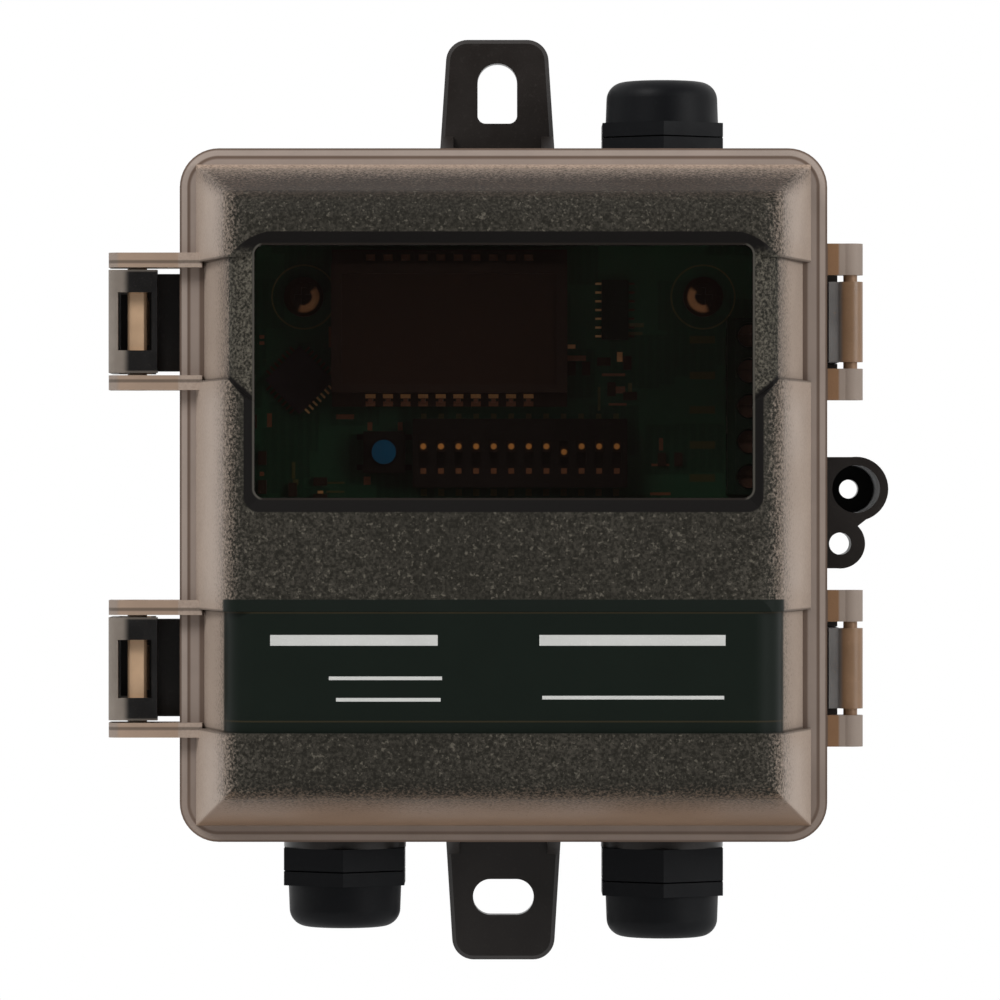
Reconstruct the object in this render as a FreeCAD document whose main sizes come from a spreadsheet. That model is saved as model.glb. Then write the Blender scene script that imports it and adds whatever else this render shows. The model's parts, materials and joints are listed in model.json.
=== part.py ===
"""Wall-hung differential pressure transmitter with a hinged, smoked cover.

Millimetres. X runs to the right, Z up, and the front of the housing faces -Y.
The origin lies in the wall plane, at the centre of the cover's outline.
"""
import FreeCAD, Part
import math
import os

import Sketcher
from FreeCAD import Placement, Rotation, Vector

doc = FreeCAD.newDocument("transmitter")
dims = doc.addObject("Spreadsheet::Sheet", "dims")

# Driving sizes, and after them the sizes that follow by a formula.
DIMENSIONS = [
    # cover
    ("cover_width", 92.6),
    ("cover_height", 99.2),
    ("cover_corner", 5.6),
    ("cover_depth", 25),
    ("cover_wall", 2.2),
    ("flange_width", 2.3),
    ("flange_thickness", 4),
    ("cover_slope", 5.4),
    ("front_round", 4.2),
    ("fitting_inset", 24.8),
    ("fitting_spacing", "=cover_height - 2 * fitting_inset"),
    ("band_height", 17),
    ("band_recess", 0.7),
    ("recess_slope", 2),
    ("window_side_inset", 10),
    ("window_half_width", "=cover_width / 2 - window_side_inset"),
    ("window_shoulder_inset", 7.7),
    ("window_shoulder_half", "=cover_width / 2 - window_shoulder_inset"),
    ("window_crown_inset", 11.5),
    ("window_top_half", "=cover_width / 2 - window_crown_inset"),
    ("window_rise", 12),
    ("window_top", "=fitting_spacing / 2 + window_rise"),
    ("window_hook_drop", 11.2),
    ("window_hook_bottom", "=fitting_spacing / 2 - window_hook_drop"),
    ("window_bottom", -2.4),
    ("label_top", -14.6),
    ("label_bottom", "=-(fitting_spacing + band_height) / 2"),
    # base housing
    ("base_depth", 30),
    ("base_wall", 2.4),
    ("base_back", 2.8),
    ("rim_overhang", 0.9),
    ("rim_thickness", 4),
    ("gasket_width", 1.5),
    ("gasket_depth", 1.3),
    ("gasket_inset", 0.95),
    ("gasket_clearance", 0.05),
    # wall tabs
    ("tab_end_top", 8),
    ("tab_reach_top", "=slot_height + tab_end_top"),
    ("tab_end_bottom", 9.3),
    ("tab_reach_bottom", "=slot_height + tab_end_bottom"),
    ("tab_root_width", 17.4),
    ("tab_end_width", 14.8),
    ("tab_thickness", 3),
    ("tab_corner", 3.2),
    ("tab_shift_top", -0.9),
    ("tab_bevel", 0.6),
    ("slot_rise", 9.9),
    ("slot_height", "=cover_height / 2 + slot_rise"),
    ("slot_width", 5.3),
    ("slot_length_top", 8.9),
    ("slot_width_top", 5.85),
    ("slot_round_top", 1.2),
    ("slot_length_bottom", 9),
    ("gusset_half_spacing", 7.4),
    ("gusset_thickness", 1.8),
    ("gusset_reach", 4.4),
    ("gusset_depth", 9),
    ("gusset_tip", 0.6),
    ("wall_overlap", 0.5),
    # sealing lug on the right side
    ("lug_front", 26),
    ("lug_back", 4),
    ("lug_plate_back", 20),
    ("lug_overhang", 4.6),
    ("lug_x", "=cover_width / 2 + lug_overhang"),
    ("lug_z", 0.9),
    ("lug_radius", 4.65),
    ("lug_cup_radius", 3.45),
    ("lug_floor", 3),
    ("lug_hole_radius", 1.4),
    ("eye_overhang", 2.3),
    ("eye_x", "=cover_width / 2 + eye_overhang"),
    ("eye_z", -7),
    ("eye_radius", 3.6),
    ("eye_hole_radius", 1.6),
    # latches on the left side
    ("latch_overhang", 6.1),
    ("latch_pivot_x", "=cover_width / 2 + latch_overhang"),
    ("latch_pivot_depth", 33.4),
    ("latch_pivot_radius", 1.4),
    ("latch_fit", 0.05),
    ("latch_outset", 4),
    ("latch_reach", "=latch_pivot_x + latch_outset"),
    ("latch_wall", 1.1),
    ("latch_front_depth", 36.3),
    ("latch_front_thickness", 1.9),
    ("latch_front_lip", 3),
    ("latch_corner", 1),
    ("latch_pivot_inset", 0.1),
    ("latch_hook_gap", 0.6),
    ("latch_hook_thickness", 1.4),
    ("latch_hook_lip", 2.2),
    ("latch_length", 14.7),
    ("latch_end_gap", 0.35),
    ("ear_thickness", 2.1),
    ("ear_back_gap", 0.3),
    ("ear_corner", 1.4),
    ("catch_front", 29.2),
    ("catch_back", 26.4),
    ("catch_play", 1.5),
    ("catch_reach", "=latch_reach - latch_wall - catch_play"),
    ("catch_gap", 0.35),
    ("catch_slot_wall", 0.3),
    ("catch_slot_margin", 0.9),
    ("nose_set_back", 1.4),
    ("nose_reach", "=latch_reach - nose_set_back"),
    ("nose_gap", 0.1),
    ("latch_window_length", 8.3),
    ("latch_window_offset", 2.2),
    ("latch_window_inner", "=latch_pivot_x - latch_window_offset"),
    ("catch_slot_offset", 1.5),
    ("catch_slot_inner", "=latch_pivot_x - catch_slot_offset"),
    # hinges on the right side
    ("hinge_overhang", 3.4),
    ("hinge_x", "=cover_width / 2 + hinge_overhang"),
    ("hinge_depth", 32),
    ("knuckle_radius", 1.8),
    ("knuckle_length", 4.5),
    ("knuckle_gap", 0.95),
    ("arm_length", 11.5),
    ("arm_web", 1.6),
    ("arm_clearance", 0.3),
    ("arm_foot_back", 15),
    ("arm_foot_front", 25.8),
    ("arm_guide_width", 2),
    ("arm_guide_gap", 0.1),
    ("hinge_pin_radius", 1),
    ("hinge_pin_fit", 0.05),
    # cable glands
    ("gland_inset", 23.15),
    ("gland_x", "=cover_width / 2 - gland_inset"),
    ("gland_depth", 15),
    ("gland_hub", 2.6),
    ("gland_hub_radius", 8.9),
    ("gland_flats", 17.5),
    ("gland_collar", 3.2),
    ("gland_tall_collar", 1.5),
    ("gland_thread_radius", 6),
    ("gland_hole_clearance", 0.15),
    ("gland_thread_fit", 0.05),
    ("gland_neck_radius", 6.9),
    ("gland_neck_length", 6),
    ("gland_bore_radius", 3.5),
    ("gland_seat_radius", 5),
    ("gland_seat_depth", 5),
    ("gland_cable_radius", 2.9),
    ("gland_nut_length", 8.2),
    ("gland_nut_hex", 2),
    ("gland_nut_end", 1.8),
    ("gland_nut_radius", 8.3),
    ("gland_nut_top_radius", 8),
    ("gland_nut_dome", 2.6),
    ("gland_nut_gap", 0.2),
    ("locknut_flats", 16),
    ("locknut_length", 3.4),
    ("spigot_end", 0.9),
    # circuit board
    ("board_side_room", 4.8),
    ("board_width", "=cover_width - 2 * board_side_room"),
    ("board_end_room", 12.6),
    ("board_height", "=cover_height - 2 * board_end_room"),
    ("board_thickness", 1.6),
    ("board_front", 20),
    ("board_hole_side", 12.5),
    ("board_hole_x", "=board_width / 2 - board_hole_side"),
    ("board_hole_end", 8.2),
    ("board_hole_z", "=board_height / 2 - board_hole_end"),
    ("board_hole_radius", 1.6),
    ("standoff_radius", 3.4),
    ("pilot_radius", 1.2),
    ("pilot_depth", 9),
    ("screw_radius", 1.15),
    ("screw_length", 7),
    ("screw_head_radius", 2.9),
    ("screw_head_height", 2),
    ("screw_head_bevel", 1),
    ("screw_recess_length", 2.6),
    ("screw_recess_width", 0.6),
    # display
    ("display_x", -7.8),
    ("display_top", 35.5),
    ("display_bottom", 14.8),
    ("display_width", 34),
    ("display_glass_width", 31),
    ("display_glass_top", 31.9),
    ("display_glass_bottom", 16),
    ("display_plate_back", 23.5),
    ("display_plate_front", 24.5),
    ("display_front", 28.5),
    ("display_glass_sink", 0.5),
    ("display_plate_margin", 0.9),
    ("display_frame_margin", 1.1),
    ("pin_pitch", 2.54),
    ("pin_width", 0.64),
    ("pin_fit", 0.08),
    ("pin_end", 0.7),
    ("pin_row_top", 34.4),
    ("pin_row_bottom", 13.7),
    # switches
    ("switch_x", 2.4),
    ("switch_z", 6.1),
    ("switch_width", 31),
    ("switch_height", 9.9),
    ("switch_depth", 5),
    ("switch_slot_width", 1.3),
    ("switch_slot_length", 3.6),
    ("switch_slot_depth", 1.1),
    ("slider_width", 1.1),
    ("slider_length", 1.5),
    ("slider_height", 1.3),
    ("slider_rest", 0.95),
    ("slider_nudge", 0.8),
    ("zero_x", -17.3),
    ("zero_z", 6.25),
    ("zero_size", 6),
    ("zero_leg_reach", 1),
    ("zero_leg_width", 0.8),
    ("zero_leg_thickness", 0.4),
    ("zero_leg_spacing", 4.4),
    ("zero_height", 3.2),
    ("zero_bore_depth", 1.2),
    ("zero_button_radius", 1.75),
    ("zero_button_fit", 0.1),
    ("zero_button_travel", 0.25),
    ("zero_button_floor_gap", 0.05),
    ("zero_button_proud", 1.3),
    # chips and small parts
    ("controller_x", -29.6),
    ("controller_z", 16.7),
    ("controller_size", 7),
    ("controller_height", 1.4),
    ("lead_length", 0.9),
    ("lead_height", 0.5),
    ("lead_width", 0.3),
    ("lead_pitch", 0.8),
    ("amplifier_x", 16.2),
    ("amplifier_z", 26.9),
    ("amplifier_width", 3.9),
    ("amplifier_length", 8.7),
    ("amplifier_height", 1.5),
    ("amplifier_pitch", 1.27),
    ("small_part_height", 0.7),
    # terminal blocks
    ("terminal_side", 5.2),
    ("terminal_x", "=board_width / 2 - terminal_side"),
    ("terminal_width", 8),
    ("terminal_pitch", 5.08),
    ("terminal_depth", 9),
    ("terminal_shelf", 2),
    ("output_terminal_z", 12.8),
    ("sensor_terminal_z", -17.5),
    ("terminal_screw_shift", 0.9),
    ("terminal_screw_x", "=terminal_x - terminal_screw_shift"),
    ("terminal_screw_radius", 1.6),
    ("terminal_well_radius", 1.9),
    ("terminal_screw_height", 1.6),
    ("terminal_well_depth", 3),
    ("terminal_entry", 2.6),
    ("terminal_entry_depth", 4.5),
    ("terminal_entry_height", 3.15),
    ("terminal_slot_width", 0.5),
]

for row, (alias, _) in enumerate(DIMENSIONS, start=1):
    dims.set(f"A{row}", alias)
    dims.setAlias(f"B{row}", alias)
for row, (_, value) in enumerate(DIMENSIONS, start=1):
    dims.set(f"B{row}", str(value))
doc.recompute()

GLANDS = {
    # name: (side of the centre line, end of the housing, hub height, extra collar height)
    "gland_top": (1, 1, "0", "0"),
    "gland_bottom_left": (-1, -1, "dims.gland_hub", "0"),
    "gland_bottom_right": (1, -1, "dims.gland_hub", "dims.gland_tall_collar"),
}
FITTING_ENDS = {"upper": 1, "lower": -1}
SQUARE = [(1, 1), (-1, 1), (-1, -1), (1, -1)]
SWITCH_WAYS = 12
NUDGED_SLIDER = 9
PINS_PER_ROW = 10
TERMINAL_WAYS = 5
sub_parts = []


def size(expression):
    """Value of an expression over the sheet, in millimetres."""
    return float(doc.getObject("dims").evalExpression(expression.replace("dims.", "")))


def negative(expression):
    """Expression with its sign turned."""
    return f"-({expression})"


def new_body(label):
    """Empty PartDesign body that will be written as one sub-part."""
    body = doc.addObject("PartDesign::Body", label)
    body.Label = label
    sub_parts.append(body)
    return body


def rectangle(centre_x, centre_y, width, height):
    """Corners of a rectangle as expressions, anticlockwise from the lower left."""
    left = f"({centre_x}) - ({width}) / 2"
    right = f"({centre_x}) + ({width}) / 2"
    low = f"({centre_y}) - ({height}) / 2"
    high = f"({centre_y}) + ({height}) / 2"
    return [(left, low), (right, low), (right, high), (left, high)]


def block(left, right, low, high):
    """Corners of a rectangle given by its four sides."""
    return [(left, low), (right, low), (right, high), (left, high)]


def hexagon(flats):
    """Corners of a regular hexagon with one corner on the second axis."""
    radius = f"({flats}) / sqrt(3)"
    angles = [f"{60 * corner + 30}deg" for corner in range(6)]
    return [(f"{radius} * cos({angle})", f"{radius} * sin({angle})") for angle in angles]


def sketch_on(body, role, offset="0", polygons=(), circles=(), rounded=()):
    """Sketch on an origin plane, moved along its normal, with every point bound to the sheet."""
    sketch = body.newObject("Sketcher::SketchObject", f"{body.Name}_sketch")
    plane = next(item for item in body.Origin.OriginFeatures if item.Role == role)
    sketch.AttachmentSupport = [(plane, "")]
    sketch.MapMode = "FlatFace"
    sketch.setExpression("AttachmentOffset.Base.z", offset)
    for corners in polygons:
        add_polygon(sketch, corners)
    for centre_x, centre_y, radius in circles:
        add_circle(sketch, centre_x, centre_y, radius)
    for half_width, half_height, radius in rounded:
        add_rounded_rectangle(sketch, half_width, half_height, radius)
    doc.recompute()
    return sketch


def pin_point(sketch, geometry, point, x, y):
    """Tie one sketch point to the sketch origin along both axes."""
    for kind, expression in (("DistanceX", x), ("DistanceY", y)):
        rule = Sketcher.Constraint(kind, -1, 1, geometry, point, size(expression))
        index = sketch.addConstraint(rule)
        sketch.setExpression(f"Constraints[{index}]", expression)


def add_polygon(sketch, corners):
    """Closed outline of straight lines through the given corners."""
    points = [Vector(size(x), size(y), 0) for x, y in corners]
    count = len(points)
    lines = [Part.LineSegment(points[i], points[(i + 1) % count]) for i in range(count)]
    indices = sketch.addGeometry(lines, False)
    for i in range(count):
        follower = indices[(i + 1) % count]
        sketch.addConstraint(Sketcher.Constraint("Coincident", indices[i], 2, follower, 1))
    for index, (x, y) in zip(indices, corners):
        pin_point(sketch, index, 1, x, y)


def add_circle(sketch, centre_x, centre_y, radius):
    """Circle with a bound centre and radius."""
    centre = Vector(size(centre_x), size(centre_y), 0)
    index = sketch.addGeometry(Part.Circle(centre, Vector(0, 0, 1), size(radius)), False)
    rule = sketch.addConstraint(Sketcher.Constraint("Radius", index, size(radius)))
    sketch.setExpression(f"Constraints[{rule}]", radius)
    pin_point(sketch, index, 3, centre_x, centre_y)


def add_rounded_rectangle(sketch, half_width, half_height, radius):
    """Rectangle about the sketch origin whose corners are tangent arcs."""
    reach_x = f"({half_width}) - ({radius})"
    reach_y = f"({half_height}) - ({radius})"
    centres = [
        (reach_x, reach_y),
        (negative(reach_x), reach_y),
        (negative(reach_x), negative(reach_y)),
        (reach_x, negative(reach_y)),
    ]
    arcs = []
    for quarter, (x, y) in enumerate(centres):
        circle = Part.Circle(Vector(size(x), size(y), 0), Vector(0, 0, 1), size(radius))
        start = quarter * math.pi / 2
        arcs.append(Part.ArcOfCircle(circle, start, start + math.pi / 2))
    sides = [
        Part.LineSegment(arcs[i].EndPoint, arcs[(i + 1) % 4].StartPoint) for i in range(4)
    ]
    arc_indices = sketch.addGeometry(arcs, False)
    side_indices = sketch.addGeometry(sides, False)
    for i in range(4):
        follower = arc_indices[(i + 1) % 4]
        sketch.addConstraint(Sketcher.Constraint("Tangent", arc_indices[i], 2, side_indices[i], 1))
        sketch.addConstraint(Sketcher.Constraint("Tangent", side_indices[i], 2, follower, 1))
    for index, (x, y) in zip(arc_indices, centres):
        pin_point(sketch, index, 3, x, y)
        rule = sketch.addConstraint(Sketcher.Constraint("Radius", index, size(radius)))
        sketch.setExpression(f"Constraints[{rule}]", radius)


def volume(body):
    """Volume of a body's current tip, or zero when it has none."""
    if body.Tip is None or body.Tip.Shape.isNull():
        return 0.0
    return body.Tip.Shape.Volume


def extrude(body, kind, sketch, length, midplane=False, reverse=False):
    """Pad or Pocket of a sketch; stops the build if the body did not grow or shrink."""
    before = volume(body)
    feature = body.newObject(f"PartDesign::{kind}", f"{body.Name}_{kind.lower()}")
    feature.Profile = sketch
    feature.Midplane = midplane
    feature.Reversed = reverse
    feature.setExpression("Length", length)
    body.Tip = feature
    doc.recompute()
    change = volume(body) - before
    if (kind == "Pad") != (change > 0):
        raise RuntimeError(f"{feature.Name} changed the volume by {change:.3f}")
    return feature


def pad(body, role, offset, length, midplane=False, reverse=False, **outlines):
    """Sketch and pad in one step."""
    sketch = sketch_on(body, role, offset, **outlines)
    return extrude(body, "Pad", sketch, length, midplane, reverse)


def pocket(body, role, offset, length, midplane=False, reverse=False, **outlines):
    """Sketch and pocket in one step."""
    sketch = sketch_on(body, role, offset, **outlines)
    return extrude(body, "Pocket", sketch, length, midplane, reverse)


def loft(body, kind, first, second):
    """Ruled loft between two sketches, added to or taken from the body."""
    before = volume(body)
    feature = body.newObject(f"PartDesign::{kind}Loft", f"{body.Name}_loft")
    feature.Profile = first
    feature.Sections = [second]
    feature.Ruled = True
    body.Tip = feature
    doc.recompute()
    if (kind == "Additive") != (volume(body) > before):
        raise RuntimeError(f"{feature.Name} changed the volume the wrong way")
    return feature


def dress_edges(body, kind, measure, value, chosen):
    """Fillet or Chamfer on the edges of the tip that the test picks."""
    base = body.Tip
    edges = base.Shape.Edges
    names = [f"Edge{index}" for index, edge in enumerate(edges, start=1) if chosen(edge)]
    if not names:
        raise RuntimeError(f"{body.Name} has no edge to dress")
    feature = body.newObject(f"PartDesign::{kind}", f"{body.Name}_{kind.lower()}")
    feature.Base = (base, names)
    feature.setExpression(measure, value)
    body.Tip = feature
    doc.recompute()
    if volume(body) <= 0:
        raise RuntimeError(f"{feature.Name} failed")
    return feature


def round_edges(body, radius, chosen):
    """Fillet the edges of the tip that the test picks."""
    return dress_edges(body, "Fillet", "Radius", radius, chosen)


def bevel_edges(body, width, chosen):
    """Chamfer the edges of the tip that the test picks."""
    return dress_edges(body, "Chamfer", "Size", width, chosen)


def runs_along(axis, spots, low=-math.inf, high=math.inf):
    """Test for straight edges along an axis through one of the spots.

    A spot holds the two other coordinates in X, Y, Z order, as expressions.
    """
    others = [index for index in range(3) if index != axis]
    places = [tuple(size(value) for value in spot) for spot in spots]

    def chosen(edge):
        if not isinstance(edge.Curve, (Part.Line, Part.LineSegment)):
            return False
        if abs(abs(edge.tangentAt(edge.FirstParameter)[axis]) - 1) > 1e-4:
            return False
        middle = edge.CenterOfMass
        if not low <= middle[axis] <= high:
            return False
        return any(
            abs(middle[others[0]] - first) < 0.02 and abs(middle[others[1]] - second) < 0.02
            for first, second in places
        )

    return chosen


def fitting_z(end):
    """Height of an upper or lower latch, hinge and band."""
    return f"{end} * dims.fitting_spacing / 2"


def board_spots():
    """Centres of the four board screws."""
    return [(f"{x} * dims.board_hole_x", f"{z} * dims.board_hole_z") for x, z in SQUARE]


COVER_HALF_WIDTH = "dims.cover_width / 2"
COVER_HALF_HEIGHT = "dims.cover_height / 2"
HOUSING_HALF_WIDTH = "dims.cover_width / 2 - dims.rim_overhang"
HOUSING_HALF_HEIGHT = "dims.cover_height / 2 - dims.rim_overhang"
FOOT_HALF_WIDTH = "dims.cover_width / 2 - dims.flange_width"
FOOT_HALF_HEIGHT = "dims.cover_height / 2 - dims.flange_width"
FACE_HALF_WIDTH = f"{FOOT_HALF_WIDTH} - dims.cover_slope"
FACE_HALF_HEIGHT = f"{FOOT_HALF_HEIGHT} - dims.cover_slope"
FLANGE_FRONT = "dims.base_depth + dims.flange_thickness"
COVER_FRONT = "dims.base_depth + dims.cover_depth"
BOARD_BACK = "dims.board_front - dims.board_thickness"


def centred(half_width, half_height):
    """Corners of a rectangle about the origin, from its half sizes."""
    return rectangle("0", "0", f"2 * ({half_width})", f"2 * ({half_height})")


def wall_tab(body, end, reach, middle, slot_width, slot_length):
    """Tapered mounting tab on the wall plane with its slot and two gusset ribs.

    Returns the four corners of the slot, anticlockwise from the lower left.
    """
    root = f"{end} * ({HOUSING_HALF_HEIGHT} - 1)"
    tip = f"{end} * dims.{reach}"
    root_half = "dims.tab_root_width / 2"
    tip_half = "dims.tab_end_width / 2"
    outline = [
        (f"{middle} - {root_half}", root),
        (f"{middle} + {root_half}", root),
        (f"{middle} + {tip_half}", tip),
        (f"{middle} - {tip_half}", tip),
    ]
    pad(body, "XZ_Plane", "0", "dims.tab_thickness", polygons=[outline])
    round_edges(body, "dims.tab_corner", runs_along(1, outline[2:]))
    at_front = lies_at_depth("dims.tab_thickness")
    bevel_edges(body, "dims.tab_bevel",
                lambda edge: at_front(edge) and abs(edge.CenterOfMass.z - size(tip)) < 0.1)
    slot = rectangle(middle, f"{end} * dims.slot_height", slot_width, slot_length)
    pocket(body, "XZ_Plane", "dims.tab_thickness", "dims.tab_thickness", polygons=[slot])
    far = f"{end} * ({HOUSING_HALF_HEIGHT} + dims.gusset_reach)"
    for side in (-1, 1):
        rib = [
            ("-dims.tab_thickness + dims.wall_overlap", root),
            ("-dims.tab_thickness + dims.wall_overlap", far),
            ("-dims.tab_thickness - dims.gusset_tip", far),
            ("-dims.tab_thickness - dims.gusset_depth", root),
        ]
        offset = f"{middle} + {side} * dims.gusset_half_spacing"
        pad(body, "YZ_Plane", offset, "dims.gusset_thickness", midplane=True, polygons=[rib])
    return slot


def seal_lug(body):
    """Deep screw cup and a thin eye side by side on the right wall."""
    cup = [("dims.lug_x", "dims.lug_z", "dims.lug_radius")]
    eye = [("dims.eye_x", "dims.eye_z", "dims.eye_radius")]
    wall = f"{HOUSING_HALF_WIDTH} - dims.wall_overlap"
    pad(body, "XZ_Plane", "dims.lug_back", "dims.lug_front - dims.lug_back", circles=cup)
    bridge = block(wall, "dims.lug_x", "dims.lug_z - dims.lug_radius / 2",
                   "dims.lug_z + dims.lug_radius * 0.99")
    pad(body, "XZ_Plane", "dims.lug_back", "dims.lug_front - dims.lug_back", polygons=[bridge])
    depth = "dims.lug_front - dims.lug_plate_back"
    pad(body, "XZ_Plane", "dims.lug_plate_back", depth, circles=eye)
    web = [
        (wall, "dims.eye_z - dims.eye_radius * 0.99"),
        ("dims.eye_x", "dims.eye_z - dims.eye_radius * 0.99"),
        ("dims.eye_x + dims.eye_radius * 0.7", "dims.eye_z + dims.eye_radius * 0.7"),
        ("dims.lug_x + dims.lug_radius * 0.5", "dims.lug_z - dims.lug_radius * 0.8"),
        (wall, "dims.lug_z"),
    ]
    pad(body, "XZ_Plane", "dims.lug_plate_back", depth, polygons=[web])
    cup_bore = [("dims.lug_x", "dims.lug_z", "dims.lug_cup_radius")]
    cup_hole = [("dims.lug_x", "dims.lug_z", "dims.lug_hole_radius")]
    eye_hole = [("dims.eye_x", "dims.eye_z", "dims.eye_hole_radius")]
    cup_depth = "dims.lug_front - dims.lug_back - dims.lug_floor"
    pocket(body, "XZ_Plane", "dims.lug_front", cup_depth, circles=cup_bore)
    pocket(body, "XZ_Plane", "dims.lug_back + dims.lug_floor", "dims.lug_floor", circles=cup_hole)
    pocket(body, "XZ_Plane", "dims.lug_front", depth, circles=eye_hole)


def latch_catch(body, end):
    """Slotted ledge on the left wall that a latch hooks behind, with a nose at its edge."""
    centre = fitting_z(end)
    depth = "dims.catch_front - dims.catch_back"
    ledge_half = "dims.latch_length / 2 - dims.catch_gap"
    nose_half = "dims.latch_window_length / 2 - dims.nose_gap"
    slot_half = "dims.latch_window_length / 2 - dims.catch_slot_margin"
    outer = "-dims.catch_reach"
    ledge = block(outer, negative(f"{HOUSING_HALF_WIDTH} - dims.wall_overlap"),
                  f"{centre} - ({ledge_half})", f"{centre} + {ledge_half}")
    nose = block("-dims.nose_reach", f"{outer} + dims.catch_slot_wall",
                 f"{centre} - ({nose_half})", f"{centre} + {nose_half}")
    slot = block(f"{outer} + dims.catch_slot_wall", "-dims.catch_slot_inner",
                 f"{centre} - ({slot_half})", f"{centre} + {slot_half}")
    pad(body, "XZ_Plane", "dims.catch_back", depth, polygons=[ledge])
    pad(body, "XZ_Plane", "dims.catch_back", depth, polygons=[nose])
    pocket(body, "XZ_Plane", "dims.catch_front", depth, polygons=[slot])


def arm_socket(body, end):
    """Three-sided rib on the right wall that holds the foot of a hinge arm."""
    centre = fitting_z(end)
    inner = f"{HOUSING_HALF_WIDTH} - dims.wall_overlap"
    outer = f"{COVER_HALF_WIDTH} + dims.arm_clearance + dims.arm_web"
    clear = "dims.arm_length / 2 + dims.arm_guide_gap"
    full = f"{clear} + dims.arm_guide_width"
    height = "dims.arm_foot_front - dims.arm_foot_back"
    guides = [
        block(inner, outer, f"{centre} + {clear}", f"{centre} + {full}"),
        block(inner, outer, f"{centre} - ({full})", f"{centre} - ({clear})"),
    ]
    ledge = block(inner, outer, f"{centre} - ({full})", f"{centre} + {full}")
    pad(body, "XZ_Plane", "dims.arm_foot_back", height, polygons=guides)
    pad(body, "XZ_Plane", "dims.arm_foot_back - dims.arm_guide_width", "dims.arm_guide_width",
        polygons=[ledge])


def gland_hole(body, side, end, hub):
    """Round hub on an end wall, if the gland has one, and the hole for its thread."""
    centre = (f"{side} * dims.gland_x", "-dims.gland_depth")
    face = f"{end} * ({HOUSING_HALF_HEIGHT} + {hub})"
    hole = "dims.gland_thread_radius + dims.gland_hole_clearance"
    if hub != "0":
        pad(body, "XY_Plane", face, f"{hub} + dims.wall_overlap", reverse=end > 0,
            circles=[(*centre, "dims.gland_hub_radius")])
    through = f"{hub} + dims.base_wall + dims.wall_overlap"
    pocket(body, "XY_Plane", face, through, reverse=end < 0,
           circles=[(*centre, hole)])


def base_housing():
    """Open-fronted moulded box with tabs, catches, sockets, lug, standoffs and gasket groove."""
    body = new_body("base_housing")
    corner = "dims.cover_corner - dims.rim_overhang"
    pad(body, "XZ_Plane", "0", "dims.base_depth",
        rounded=[(HOUSING_HALF_WIDTH, HOUSING_HALF_HEIGHT, corner)])
    pad(body, "XZ_Plane", "dims.base_depth - dims.rim_thickness", "dims.rim_thickness",
        rounded=[(COVER_HALF_WIDTH, COVER_HALF_HEIGHT, "dims.cover_corner")])
    upright = wall_tab(body, 1, "tab_reach_top", "dims.tab_shift_top", "dims.slot_width_top",
                       "dims.slot_length_top")
    round_edges(body, "dims.slot_width_top / 2 - 0.05", runs_along(1, upright[2:]))
    round_edges(body, "dims.slot_round_top", runs_along(1, upright[:2]))
    level = wall_tab(body, -1, "tab_reach_bottom", "0", "dims.slot_length_bottom",
                     "dims.slot_width")
    round_edges(body, "dims.slot_width / 2 - 0.05", runs_along(1, level))
    seal_lug(body)
    for end in FITTING_ENDS.values():
        latch_catch(body, end)
        arm_socket(body, end)
    cavity = (f"{HOUSING_HALF_WIDTH} - dims.base_wall", f"{HOUSING_HALF_HEIGHT} - dims.base_wall",
              f"{corner} - dims.base_wall")
    pocket(body, "XZ_Plane", "dims.base_depth", "dims.base_depth - dims.base_back",
           rounded=[cavity])
    pocket(body, "XZ_Plane", "dims.base_depth", "dims.gasket_depth",
           rounded=gasket_ring("dims.gasket_clearance"))
    for side, end, hub, _ in GLANDS.values():
        gland_hole(body, side, end, hub)
    pad(body, "XZ_Plane", "dims.base_back", f"{BOARD_BACK} - dims.base_back",
        circles=[(*spot, "dims.standoff_radius") for spot in board_spots()])
    pocket(body, "XZ_Plane", BOARD_BACK, "dims.pilot_depth",
           circles=[(*spot, "dims.pilot_radius") for spot in board_spots()])


def gasket_ring(clearance):
    """Outer and inner outline of the gasket, grown by a clearance on both sides."""
    outer_inset = f"dims.gasket_inset - ({clearance})"
    inner_inset = f"dims.gasket_inset + dims.gasket_width + {clearance}"
    return [
        (f"{COVER_HALF_WIDTH} - ({inset})", f"{COVER_HALF_HEIGHT} - ({inset})",
         f"dims.cover_corner - ({inset})")
        for inset in (outer_inset, inner_inset)
    ]


def cover_gasket():
    """Soft ring that lies in the groove of the housing's rim."""
    body = new_body("cover_gasket")
    pad(body, "XZ_Plane", "dims.base_depth - dims.gasket_depth", "dims.gasket_depth",
        rounded=gasket_ring("0"))


def shell_loft(body, kind, back, front, shrink="0"):
    """Ruled loft from the cover's foot rectangle to its face rectangle, both shrunk alike."""
    foot = centred(f"{FOOT_HALF_WIDTH} - ({shrink})", f"{FOOT_HALF_HEIGHT} - ({shrink})")
    face = centred(f"{FACE_HALF_WIDTH} - ({shrink})", f"{FACE_HALF_HEIGHT} - ({shrink})")
    first = sketch_on(body, "XZ_Plane", back, polygons=[foot])
    second = sketch_on(body, "XZ_Plane", front, polygons=[face])
    loft(body, kind, first, second)


def lies_at_depth(depth):
    """Test for edges that lie wholly in the plane at a depth in front of the wall."""
    plane = -size(depth)

    def chosen(edge):
        box = edge.BoundBox
        return abs(box.YMin - plane) < 0.01 and abs(box.YMax - plane) < 0.01

    return chosen


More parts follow.
